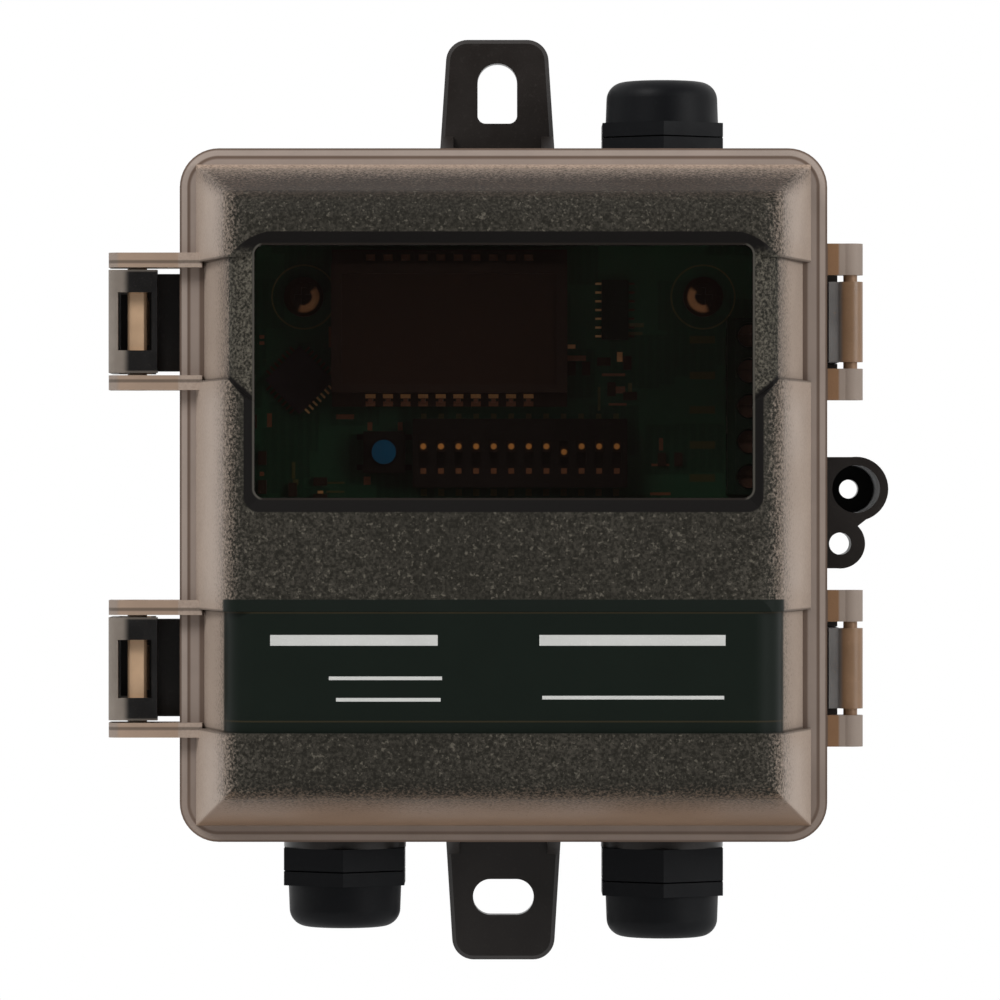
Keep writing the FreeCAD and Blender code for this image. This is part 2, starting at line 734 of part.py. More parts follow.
def band_core():
    """Slightly smaller cover blank, kept only where the two bands cross it."""
    body = doc.addObject("PartDesign::Body", "cover_band_core")
    front = f"{COVER_FRONT} - dims.band_recess"
    shell_loft(body, "Additive", "dims.base_depth + 1", front, "dims.band_recess * 0.7")
    round_edges(body, "dims.front_round", lies_at_depth(front))
    upper, lower = (fitting_z(end) for end in FITTING_ENDS.values())
    half = "dims.band_height / 2"
    top = "dims.cover_height"
    outside = [
        centred(COVER_HALF_WIDTH, f"{upper} - {half}"),
        block(negative(COVER_HALF_WIDTH), COVER_HALF_WIDTH, f"{upper} + {half}", top),
        block(negative(COVER_HALF_WIDTH), COVER_HALF_WIDTH, negative(top), f"{lower} - {half}"),
    ]
    pocket(body, "XZ_Plane", COVER_FRONT, "dims.cover_depth", polygons=outside)
    return body


def window_outline(shrink):
    """Ten-sided outline of the sight window, with wide shoulders where a band crosses it."""
    middle = fitting_z(FITTING_ENDS["upper"])
    side = f"dims.window_half_width - ({shrink})"
    shoulder = f"dims.window_shoulder_half - ({shrink}) * 0.3"
    top_half = f"dims.window_top_half - ({shrink}) * 0.5"
    right = [
        (side, f"dims.window_bottom + {shrink}"),
        (side, f"dims.window_hook_bottom - ({shrink}) * 0.4"),
        (shoulder, f"{middle} - dims.band_height / 2 - ({shrink}) * 0.4"),
        (shoulder, f"{middle} + dims.band_height / 2 - ({shrink}) * 0.5"),
        (top_half, f"dims.window_top - ({shrink})"),
    ]
    return right + [(negative(x), z) for x, z in reversed(right)]


def label_outline(shrink):
    """Rectangle of the label field, narrowed only in height."""
    half = "dims.window_shoulder_half"
    return block(negative(half), half, f"dims.label_bottom + {shrink}",
                 f"dims.label_top - ({shrink})")


def sunk_field(body, outline):
    """Field sunk in the cover's face, with sloping edges down to its floor."""
    mouth = sketch_on(body, "XZ_Plane", COVER_FRONT, polygons=[outline("0")])
    floor = sketch_on(body, "XZ_Plane", f"{COVER_FRONT} - dims.band_recess",
                      polygons=[outline("dims.recess_slope")])
    loft(body, "Subtractive", mouth, floor)


def latch_ears(body, end):
    """Two ears on the left edge of the flange that carry a latch."""
    centre = fitting_z(end)
    step = "dims.latch_length / 2 + dims.latch_end_gap + dims.ear_thickness / 2"
    root = f"{FOOT_HALF_WIDTH} - 1"
    profile = block("-dims.latch_reach", negative(root), "-dims.latch_front_depth",
                    "-(dims.base_depth + dims.ear_back_gap)")
    pivot = [("-dims.latch_pivot_x", "-dims.latch_pivot_depth",
              "dims.latch_pivot_radius + dims.latch_fit")]
    for side in (-1, 1):
        offset = f"{centre} + {side} * ({step})"
        pad(body, "XY_Plane", offset, "dims.ear_thickness", midplane=True, polygons=[profile])
        pocket(body, "XY_Plane", offset, "dims.ear_thickness", midplane=True, circles=pivot)
    low = size(f"{centre} - ({step}) - dims.ear_thickness")
    high = size(f"{centre} + {step} + dims.ear_thickness")
    spots = [("-dims.latch_reach", "-dims.latch_front_depth")]
    round_edges(body, "dims.ear_corner", runs_along(2, spots, low, high))


def hinge_knuckles(body, end):
    """Outer pair of hinge knuckles on the right edge of the flange."""
    centre = fitting_z(end)
    step = "dims.arm_length / 2 + dims.knuckle_gap + dims.knuckle_length / 2"
    barrel = [("dims.hinge_x", "-dims.hinge_depth", "dims.knuckle_radius")]
    web = block(f"{FOOT_HALF_WIDTH} + 1", "dims.hinge_x",
                "-(dims.hinge_depth + dims.knuckle_radius * 0.9)",
                "-(dims.base_depth + dims.ear_back_gap)")
    pin = [("dims.hinge_x", "-dims.hinge_depth", "dims.hinge_pin_radius + dims.hinge_pin_fit")]
    for side in (-1, 1):
        offset = f"{centre} + {side} * ({step})"
        pad(body, "XY_Plane", offset, "dims.knuckle_length", midplane=True, circles=barrel)
        pad(body, "XY_Plane", offset, "dims.knuckle_length", midplane=True, polygons=[web])
        pocket(body, "XY_Plane", offset, "dims.knuckle_length", midplane=True, circles=pin)


def cover():
    """Domed cover with mitred slopes, two sunk bands, a sight window, ears and knuckles."""
    core = band_core()
    body = new_body("cover")
    pad(body, "XZ_Plane", "dims.base_depth", "dims.flange_thickness",
        rounded=[(COVER_HALF_WIDTH, COVER_HALF_HEIGHT, "dims.cover_corner")])
    shell_loft(body, "Additive", FLANGE_FRONT, COVER_FRONT)
    round_edges(body, "dims.front_round", lies_at_depth(COVER_FRONT))
    bands = [
        rectangle("0", fitting_z(end), "2 * dims.cover_width", "dims.band_height")
        for end in FITTING_ENDS.values()
    ]
    pocket(body, "XZ_Plane", COVER_FRONT, "dims.cover_depth - dims.flange_thickness",
           polygons=bands)
    joined = body.newObject("PartDesign::Boolean", "cover_bands")
    joined.setObjects([core])
    joined.Type = "Fuse"
    body.Tip = joined
    doc.recompute()
    sunk_field(body, window_outline)
    sunk_field(body, label_outline)
    shell_loft(body, "Subtractive", "dims.base_depth", f"{COVER_FRONT} - dims.cover_wall",
               "dims.cover_wall")
    for end in FITTING_ENDS.values():
        latch_ears(body, end)
        hinge_knuckles(body, end)


def latch(name, end):
    """Hooked lever that turns between two ears and grips behind a catch."""
    body = new_body(f"latch_{name}")
    centre = fitting_z(end)
    plate_back = "dims.latch_front_depth - dims.latch_front_thickness"
    hook_front = "dims.catch_back - dims.latch_hook_gap"
    hook_back = f"{hook_front} - dims.latch_hook_thickness"
    outer = "-dims.latch_reach"
    inner = "-(dims.latch_reach - dims.latch_wall)"
    profile = [
        (outer, "-dims.latch_front_depth"),
        ("-dims.latch_pivot_x + dims.latch_front_lip", "-dims.latch_front_depth"),
        ("-dims.latch_pivot_x + dims.latch_front_lip", negative(plate_back)),
        (inner, negative(plate_back)),
        (inner, negative(hook_front)),
        ("-dims.latch_pivot_x + dims.latch_hook_lip", negative(hook_front)),
        ("-dims.latch_pivot_x + dims.latch_hook_lip", negative(hook_back)),
        (outer, negative(hook_back)),
    ]
    pad(body, "XY_Plane", centre, "dims.latch_length", midplane=True, polygons=[profile])
    corners = [(outer, "-dims.latch_front_depth"), (outer, negative(hook_back))]
    round_edges(body, "dims.latch_corner", runs_along(2, corners))
    pivot = [("-dims.latch_pivot_x", "-dims.latch_pivot_depth", "dims.latch_pivot_radius")]
    span = "dims.latch_end_gap + dims.ear_thickness - dims.latch_pivot_inset"
    pad(body, "XY_Plane", centre, f"dims.latch_length + 2 * ({span})", midplane=True,
        circles=pivot)
    half = "dims.latch_window_length / 2"
    window = block("-dims.nose_reach", "-dims.latch_window_inner",
                   f"{centre} - {half}", f"{centre} + {half}")
    pocket(body, "XZ_Plane", "dims.latch_front_depth", "dims.latch_front_thickness",
           polygons=[window])


def hinge_arm(name, end):
    """Moulded arm from its socket on the housing to the middle knuckle of a hinge."""
    body = new_body(f"hinge_arm_{name}")
    centre = fitting_z(end)
    inner = f"{COVER_HALF_WIDTH} + dims.arm_clearance"
    outer = f"{inner} + dims.arm_web"
    tip = "-(dims.hinge_depth + dims.knuckle_radius / 3)"
    profile = [
        (HOUSING_HALF_WIDTH, "-dims.arm_foot_back"),
        (HOUSING_HALF_WIDTH, "-dims.arm_foot_front"),
        (inner, "-dims.arm_foot_front"),
        (inner, tip),
        (outer, tip),
        (outer, "-dims.arm_foot_back"),
    ]
    barrel = [("dims.hinge_x", "-dims.hinge_depth", "dims.knuckle_radius")]
    pin = [("dims.hinge_x", "-dims.hinge_depth", "dims.hinge_pin_radius + dims.hinge_pin_fit")]
    pad(body, "XY_Plane", centre, "dims.arm_length", midplane=True, polygons=[profile])
    pad(body, "XY_Plane", centre, "dims.arm_length", midplane=True, circles=barrel)
    pocket(body, "XY_Plane", centre, "dims.arm_length", midplane=True, circles=pin)


def hinge_pin(name, end):
    """Plain pin through the three knuckles of a hinge."""
    body = new_body(f"hinge_pin_{name}")
    length = "dims.arm_length + 2 * (dims.knuckle_gap + dims.knuckle_length)"
    pad(body, "XY_Plane", fitting_z(end), length, midplane=True,
        circles=[("dims.hinge_x", "-dims.hinge_depth", "dims.hinge_pin_radius")])


def gland_part(name, side, end, hub):
    """Body in a gland's own frame: its axis is Z and the wall's outer face is at zero."""
    body = new_body(name)
    body.setExpression("Placement.Base.x", f"{side} * dims.gland_x")
    body.setExpression("Placement.Base.y", "-dims.gland_depth")
    body.setExpression("Placement.Base.z", f"{end} * ({HOUSING_HALF_HEIGHT} + {hub})")
    if end < 0:
        body.Placement = Placement(body.Placement.Base, Rotation(Vector(1, 0, 0), 180))
    return body


def top_edges(body, radius):
    """Round the outer edge of a turned part's highest face."""
    top = body.Tip.Shape.BoundBox.ZMax

    def chosen(edge):
        box = edge.BoundBox
        flat = abs(box.ZMin - top) < 0.01 and abs(box.ZMax - top) < 0.01
        return flat and box.XLength > size("2 * dims.gland_neck_radius")

    round_edges(body, radius, chosen)


def cable_gland(name, side, end, hub, extra):
    """Threaded body with a hexagon collar, rubber seal, domed nut and locknut."""
    wall = f"{hub} + dims.base_wall"
    collar = f"dims.gland_collar + {extra}"
    neck_top = f"{collar} + dims.gland_neck_length"

    body = gland_part(f"{name}_body", side, end, hub)
    pad(body, "XY_Plane", "0", collar, polygons=[hexagon("dims.gland_flats")])
    pad(body, "XY_Plane", "0", f"{wall} + dims.locknut_length + dims.spigot_end", reverse=True,
        circles=[("0", "0", "dims.gland_thread_radius")])
    pad(body, "XY_Plane", collar, "dims.gland_neck_length",
        circles=[("0", "0", "dims.gland_neck_radius")])
    pocket(body, "XY_Plane", neck_top, "dims.gland_seat_depth",
           circles=[("0", "0", "dims.gland_seat_radius")])
    pocket(body, "XY_Plane", neck_top, f"2 * ({neck_top}) + {wall} + dims.locknut_length",
           circles=[("0", "0", "dims.gland_bore_radius")])

    seal = gland_part(f"{name}_seal", side, end, hub)
    pad(seal, "XY_Plane", f"{neck_top} - dims.gland_seat_depth", "dims.gland_seat_depth",
        circles=[("0", "0", "dims.gland_seat_radius - dims.gland_thread_fit"),
                 ("0", "0", "dims.gland_cable_radius")])

    nut_foot = f"{collar} + dims.gland_nut_gap"
    nut = gland_part(f"{name}_nut", side, end, hub)
    pad(nut, "XY_Plane", nut_foot, "dims.gland_nut_hex", polygons=[hexagon("dims.gland_flats")])
    foot = sketch_on(nut, "XY_Plane", nut_foot, circles=[("0", "0", "dims.gland_nut_radius")])
    crown = sketch_on(nut, "XY_Plane", f"{nut_foot} + dims.gland_nut_length",
                      circles=[("0", "0", "dims.gland_nut_top_radius")])
    loft(nut, "Additive", foot, crown)
    top_edges(nut, "dims.gland_nut_dome")
    pocket(nut, "XY_Plane", nut_foot, "dims.gland_nut_length - dims.gland_nut_end", reverse=True,
           circles=[("0", "0", "dims.gland_neck_radius + dims.gland_thread_fit")])
    pocket(nut, "XY_Plane", nut_foot, "dims.gland_nut_length + 1", reverse=True,
           circles=[("0", "0", "dims.gland_bore_radius")])

    locknut = gland_part(f"{name}_locknut", side, end, hub)
    pad(locknut, "XY_Plane", f"-({wall})", "dims.locknut_length", reverse=True,
        polygons=[hexagon("dims.locknut_flats")],
        circles=[("0", "0", "dims.gland_thread_radius + dims.gland_thread_fit")])


def circuit_board():
    """Glass-fibre board with four screw holes."""
    body = new_body("circuit_board")
    pad(body, "XZ_Plane", BOARD_BACK, "dims.board_thickness",
        polygons=[centred("dims.board_width / 2", "dims.board_height / 2")],
        circles=[(*spot, "dims.board_hole_radius") for spot in board_spots()])


def board_screws():
    """Four pan-head screws with a cross recess."""
    body = new_body("board_screws")
    pad(body, "XZ_Plane", "dims.board_front - dims.screw_length", "dims.screw_length",
        circles=[(*spot, "dims.screw_radius") for spot in board_spots()])
    pad(body, "XZ_Plane", "dims.board_front", "dims.screw_head_height",
        circles=[(*spot, "dims.screw_head_radius") for spot in board_spots()])
    head_front = "dims.board_front + dims.screw_head_height"
    bevel_edges(body, "dims.screw_head_bevel", lies_at_depth(head_front))
    recess = ("dims.screw_recess_length", "dims.screw_recess_width")
    for width, height in (recess, reversed(recess)):
        cuts = [rectangle(*spot, width, height) for spot in board_spots()]
        pocket(body, "XZ_Plane", head_front, "dims.screw_head_height / 2", polygons=cuts)


def display_pin_squares(width):
    """Squares of one width on the two pin rows of the display."""
    return [
        rectangle(f"dims.display_x + ({2 * i - PINS_PER_ROW + 1}) * dims.pin_pitch / 2", row,
                  width, width)
        for row in ("dims.pin_row_top", "dims.pin_row_bottom")
        for i in range(PINS_PER_ROW)
    ]


def display():
    """Liquid-crystal module on a small carrier plate that stands on two pin rows."""
    body = new_body("display_module")
    left = "dims.display_x - dims.display_width / 2"
    right = "dims.display_x + dims.display_width / 2"
    plate = block(left, right, "dims.pin_row_bottom - dims.display_plate_margin",
                  "dims.display_top")
    pad(body, "XZ_Plane", "dims.display_plate_back",
        "dims.display_plate_front - dims.display_plate_back",
        polygons=[plate] + display_pin_squares("dims.pin_width + 2 * dims.pin_fit"))
    frame = block(left, right, "dims.display_bottom",
                  "dims.pin_row_top - dims.display_frame_margin")
    pad(body, "XZ_Plane", "dims.display_plate_front",
        "dims.display_front - dims.display_plate_front", polygons=[frame])
    glass_half = "dims.display_glass_width / 2"
    glass = block(f"dims.display_x - {glass_half}", f"dims.display_x + {glass_half}",
                  "dims.display_glass_bottom", "dims.display_glass_top")
    pocket(body, "XZ_Plane", "dims.display_front", "dims.display_glass_sink", polygons=[glass])

    pins = new_body("display_pins")
    pad(pins, "XZ_Plane", "dims.board_front",
        "dims.display_plate_front + dims.pin_end - dims.board_front",
        polygons=display_pin_squares("dims.pin_width"))


def switch_slot_x(way):
    """Centre of one way of the slide switch, counted from the left."""
    return f"dims.switch_x + ({2 * way - SWITCH_WAYS - 1}) * dims.pin_pitch / 2"


def slide_switch():
    """Twelve-way slide switch: one body with a slot for each slider."""
    body = new_body("dip_switch_body")
    pad(body, "XZ_Plane", "dims.board_front", "dims.switch_depth",
        polygons=[rectangle("dims.switch_x", "dims.switch_z", "dims.switch_width",
                            "dims.switch_height")])
    slots = [
        rectangle(switch_slot_x(way), "dims.switch_z", "dims.switch_slot_width",
                  "dims.switch_slot_length")
        for way in range(1, SWITCH_WAYS + 1)
    ]
    pocket(body, "XZ_Plane", "dims.board_front + dims.switch_depth", "dims.switch_slot_depth",
           polygons=slots)
    slot_floor = "dims.board_front + dims.switch_depth - dims.switch_slot_depth"
    for way in range(1, SWITCH_WAYS + 1):
        nudge = " - dims.slider_nudge" if way == NUDGED_SLIDER else ""
        slider = new_body(f"dip_slider_{way:02d}")
        pad(slider, "XZ_Plane", slot_floor, "dims.slider_height",
            polygons=[rectangle(switch_slot_x(way), f"dims.switch_z + dims.slider_rest{nudge}",
                                "dims.slider_width", "dims.slider_length")])


def zero_switch():
    """Push switch that sets the zero point: a square body and its round button."""
    body = new_body("zero_switch_body")
    front = "dims.board_front + dims.zero_height"
    pad(body, "XZ_Plane", "dims.board_front", "dims.zero_height",
        polygons=[rectangle("dims.zero_x", "dims.zero_z", "dims.zero_size", "dims.zero_size")])
    legs = [
        rectangle("dims.zero_x", f"dims.zero_z + {side} * dims.zero_leg_spacing / 2",
                  "dims.zero_size + 2 * dims.zero_leg_reach", "dims.zero_leg_width")
        for side in (-1, 1)
    ]
    pad(body, "XZ_Plane", "dims.board_front", "dims.zero_leg_thickness", polygons=legs)
    pocket(body, "XZ_Plane", front, "dims.zero_bore_depth",
           circles=[("dims.zero_x", "dims.zero_z",
                     "dims.zero_button_radius + dims.zero_button_fit")])
    button = new_body("zero_button")
    lift = "dims.zero_button_travel + dims.zero_button_floor_gap"
    foot = f"{front} - dims.zero_bore_depth + {lift}"
    tip = f"{front} + dims.zero_button_proud"
    pad(button, "XZ_Plane", foot, f"({tip}) - ({foot})",
        circles=[("dims.zero_x", "dims.zero_z", "dims.zero_button_radius")])


def chip(name, half_width, half_length, height, pitch, leads, both_ways, centre_x, centre_z):
    """Flat chip body with gull leads along two sides, or along all four."""
    body = new_body(name)
    pad(body, "XZ_Plane", "0", height, polygons=[
        rectangle(centre_x, centre_z, f"2 * ({half_width})", f"2 * ({half_length})")])
    feet = []
    for i in range(leads):
        shift = f"({2 * i - leads + 1}) * {pitch} / 2"
        width = f"2 * ({half_width} + dims.lead_length)"
        feet.append(rectangle(centre_x, f"{centre_z} + {shift}", width, "dims.lead_width"))
    pad(body, "XZ_Plane", "0", "dims.lead_height", polygons=feet)
    if both_ways:
        turned = [
            rectangle(f"{centre_x} + ({2 * i - leads + 1}) * {pitch} / 2", centre_z,
                      "dims.lead_width", f"2 * ({half_length} + dims.lead_length)")
            for i in range(leads)
        ]
        pad(body, "XZ_Plane", "0", "dims.lead_height", polygons=turned)
    body.setExpression("Placement.Base.y", "-dims.board_front")
    return body


def chips():
    """Controller set at 45 degrees and the amplifier beside the display."""
    half = "dims.controller_size / 2"
    controller = chip("microcontroller", half, half, "dims.controller_height",
                      "dims.lead_pitch", 7, True, "0", "0")
    controller.Placement = Placement(Vector(0, 0, 0), Rotation(Vector(0, 1, 0), 45))
    controller.setExpression("Placement.Base.x", "dims.controller_x")
    controller.setExpression("Placement.Base.z", "dims.controller_z")
    chip("amplifier_ic", "dims.amplifier_width / 2", "dims.amplifier_length / 2",
         "dims.amplifier_height", "dims.amplifier_pitch", 7, False,
         "dims.amplifier_x", "dims.amplifier_z")


SMALL_PARTS = [
    # centre x, centre z, width, height of each chip resistor or capacitor
    (9.9, 18.4, 1.2, 2.0),
    (12.0, 18.4, 1.2, 2.0),
    (14.6, 19.4, 2.0, 1.2),
    (18.0, 19.2, 1.2, 2.0),
    (15.7, 15.4, 1.2, 2.0),
    (18.4, 14.4, 2.0, 1.2),
    (-35.0, 5.4, 1.2, 2.0),
    (-35.0, 1.2, 1.2, 2.0),
    (-26.6, 2.0, 2.0, 1.2),
    (-26.6, -0.4, 2.0, 1.2),
    (-36.4, 10.7, 1.2, 2.0),
    (-30.6, 0.8, 1.2, 2.0),
    (23.0, 5.2, 1.2, 2.0),
    (25.4, 5.2, 1.2, 2.0),
    (-22.0, -12.0, 3.2, 5.0),
    (-14.0, -12.0, 3.2, 5.0),
    (2.0, -14.0, 6.0, 5.0),
    (16.0, -16.0, 4.4, 4.4),
]


def small_components():
    """Chip resistors, capacitors and a coil soldered flat to the board."""
    body = new_body("small_components")
    outlines = [rectangle(*(str(value) for value in part)) for part in SMALL_PARTS]
    pad(body, "XZ_Plane", "dims.board_front", "dims.small_part_height", polygons=outlines)


def terminal_block(name, centre):
    """Row of screw terminals with wire entries facing the middle of the board."""
    body = new_body(f"{name}_block")
    left = "dims.terminal_x - dims.terminal_width / 2"
    right = "dims.terminal_x + dims.terminal_width / 2"
    back = "-dims.board_front"
    front = "-(dims.board_front + dims.terminal_depth)"
    profile = [
        (left, back),
        (right, back),
        (right, f"{front} + dims.terminal_shelf"),
        (f"{right} - dims.terminal_shelf", front),
        (f"{left} + dims.terminal_shelf / 2", front),
        (left, f"{front} + dims.terminal_shelf"),
    ]
    length = f"{TERMINAL_WAYS} * dims.terminal_pitch"
    pad(body, "XY_Plane", centre, length, midplane=True, polygons=[profile])
    heights = [
        f"{centre} + ({2 * i - TERMINAL_WAYS + 1}) * dims.terminal_pitch / 2"
        for i in range(TERMINAL_WAYS)
    ]
    well_front = "dims.board_front + dims.terminal_depth"
    pocket(body, "XZ_Plane", well_front, "dims.terminal_well_depth",
           circles=[("dims.terminal_screw_x", z, "dims.terminal_well_radius") for z in heights])
    entry = "-(dims.board_front + dims.terminal_entry_height)"
    entries = [rectangle(entry, z, "dims.terminal_entry", "dims.terminal_entry") for z in heights]
    pocket(body, "YZ_Plane", left, "dims.terminal_entry_depth", reverse=True, polygons=entries)

    screws = new_body(f"{name}_screws")
    floor = f"{well_front} - dims.terminal_well_depth"
    pad(screws, "XZ_Plane", floor, "dims.terminal_screw_height",
        circles=[("dims.terminal_screw_x", z, "dims.terminal_screw_radius") for z in heights])
    slots = [
        rectangle("dims.terminal_screw_x", z, "2.4 * dims.terminal_screw_radius",
                  "dims.terminal_slot_width")
        for z in heights
    ]
    pocket(screws, "XZ_Plane", f"{floor} + dims.terminal_screw_height",
           "dims.terminal_screw_height / 2", polygons=slots)


def build_all():
    """Make every sub-part."""
    base_housing()
    cover_gasket()
    cover()
    for name, end in FITTING_ENDS.items():
        latch(name, end)
        hinge_arm(name, end)
        hinge_pin(name, end)
    for name, gland in GLANDS.items():
        cable_gland(name, *gland)
    circuit_board()
    board_screws()
    display()
    slide_switch()
    zero_switch()
    chips()
    small_components()
    terminal_block("output_terminal", "dims.output_terminal_z")
    terminal_block("sensor_terminal", "dims.sensor_terminal_z")


def check_document():
    """Stop the build when any feature failed or any sub-part is unusable."""
    for item in doc.Objects:
        if "Invalid" in item.State or "Error" in item.State:
            raise RuntimeError(f"{item.Name} is {item.State}")
    for part in sub_parts:
        if part.Shape.isNull() or not part.Shape.isValid() or not part.Shape.Solids:
            raise RuntimeError(f"{part.Label} has no valid solid")


def write_parts():
    """Write each sub-part to its own STEP file."""
    os.makedirs("parts", exist_ok=True)
    for part in sub_parts:
        part.Shape.exportStep(f"parts/{part.Label}.step")


build_all()
doc.recompute()
check_document()
write_parts()
for part in sub_parts:
    print(f"{part.Label}: {len(part.Shape.Solids)} solid(s), {part.Shape.Volume:.1f} mm3")
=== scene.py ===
"""Looks of a wall-hung pressure transmitter with a smoked, hinged cover.

Metres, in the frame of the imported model: X to the right, Z up, the viewer at -Y, the wall at Y = 0.
Depth means distance in front of the wall, so it is -Y.
"""
from __future__ import annotations

import json
import logging
import math
from dataclasses import dataclass, field
from enum import Enum
from typing import Any, Union

import bpy
import numpy as np
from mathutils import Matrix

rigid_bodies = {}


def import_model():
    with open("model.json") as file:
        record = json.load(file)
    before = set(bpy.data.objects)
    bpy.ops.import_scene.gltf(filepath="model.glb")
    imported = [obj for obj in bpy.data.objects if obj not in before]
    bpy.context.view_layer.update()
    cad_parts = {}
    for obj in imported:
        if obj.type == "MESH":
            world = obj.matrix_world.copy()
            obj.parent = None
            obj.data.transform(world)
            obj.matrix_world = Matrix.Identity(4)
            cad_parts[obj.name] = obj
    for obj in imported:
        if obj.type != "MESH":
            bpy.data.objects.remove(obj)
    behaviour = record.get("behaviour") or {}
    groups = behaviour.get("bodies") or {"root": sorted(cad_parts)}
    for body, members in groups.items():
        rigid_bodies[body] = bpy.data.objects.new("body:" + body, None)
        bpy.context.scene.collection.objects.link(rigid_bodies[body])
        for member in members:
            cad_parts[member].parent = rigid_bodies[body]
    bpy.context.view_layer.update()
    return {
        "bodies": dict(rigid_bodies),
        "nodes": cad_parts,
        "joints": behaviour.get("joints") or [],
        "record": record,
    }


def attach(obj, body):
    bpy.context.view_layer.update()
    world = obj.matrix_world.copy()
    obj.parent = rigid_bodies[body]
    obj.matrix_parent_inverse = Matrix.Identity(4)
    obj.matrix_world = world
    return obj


LOG = logging.getLogger("transmitter")
MM = 0.001
LIFT = 0.01 * MM
SHADER_INPUTS = {"colour": "Base Color", "roughness": "Roughness", "metallic": "Metallic",
                 "alpha": "Alpha", "specular": "Specular IOR Level"}

Colour = tuple[float, float, float]
Patch = tuple[float, float, float, float]
Limits = tuple[float, float, float, float]
Bar = tuple[float, float, float]
Points = np.ndarray
Pieces = tuple[Points, Points]


class Ray(Enum):
    """Light Path outputs that decide what a ray sees of the backdrop."""

    CAMERA = "Is Camera Ray"
    GLOSSY = "Is Glossy Ray"
    TRANSMISSION = "Is Transmission Ray"


class Grain(Enum):
    """Direction along which a metal was drawn or brushed, as stretch factors."""

    ALONG_Z = (1.0, 1.0, 0.08)
    NONE = (1.0, 1.0, 1.0)


# ---------------------------------------------------------------- node graphs


@dataclass(frozen=True)
class Wire:
    """Output of a node; arithmetic on a wire adds Math nodes to its graph."""

    graph: Graph
    socket: bpy.types.NodeSocket

    def __add__(self, other: Value) -> Wire:
        """Sum."""
        return self.graph.math("ADD", self, other)

    def __sub__(self, other: Value) -> Wire:
        """Difference."""
        return self.graph.math("SUBTRACT", self, other)

    def __rsub__(self, other: float) -> Wire:
        """Difference from a number."""
        return self.graph.math("SUBTRACT", other, self)

    def __mul__(self, other: Value) -> Wire:
        """Product."""
        return self.graph.math("MULTIPLY", self, other)

    def __truediv__(self, other: Value) -> Wire:
        """Quotient."""
        return self.graph.math("DIVIDE", self, other)

    def __mod__(self, other: Value) -> Wire:
        """Remainder, which keeps the sign of the first value."""
        return self.graph.math("MODULO", self, other)

    def __pow__(self, other: Value) -> Wire:
        """Power."""
        return self.graph.math("POWER", self, other)

    def __abs__(self) -> Wire:
        """Size without its sign."""
        return self.graph.math("ABSOLUTE", self)


Value = Union[float, int, tuple, Wire]


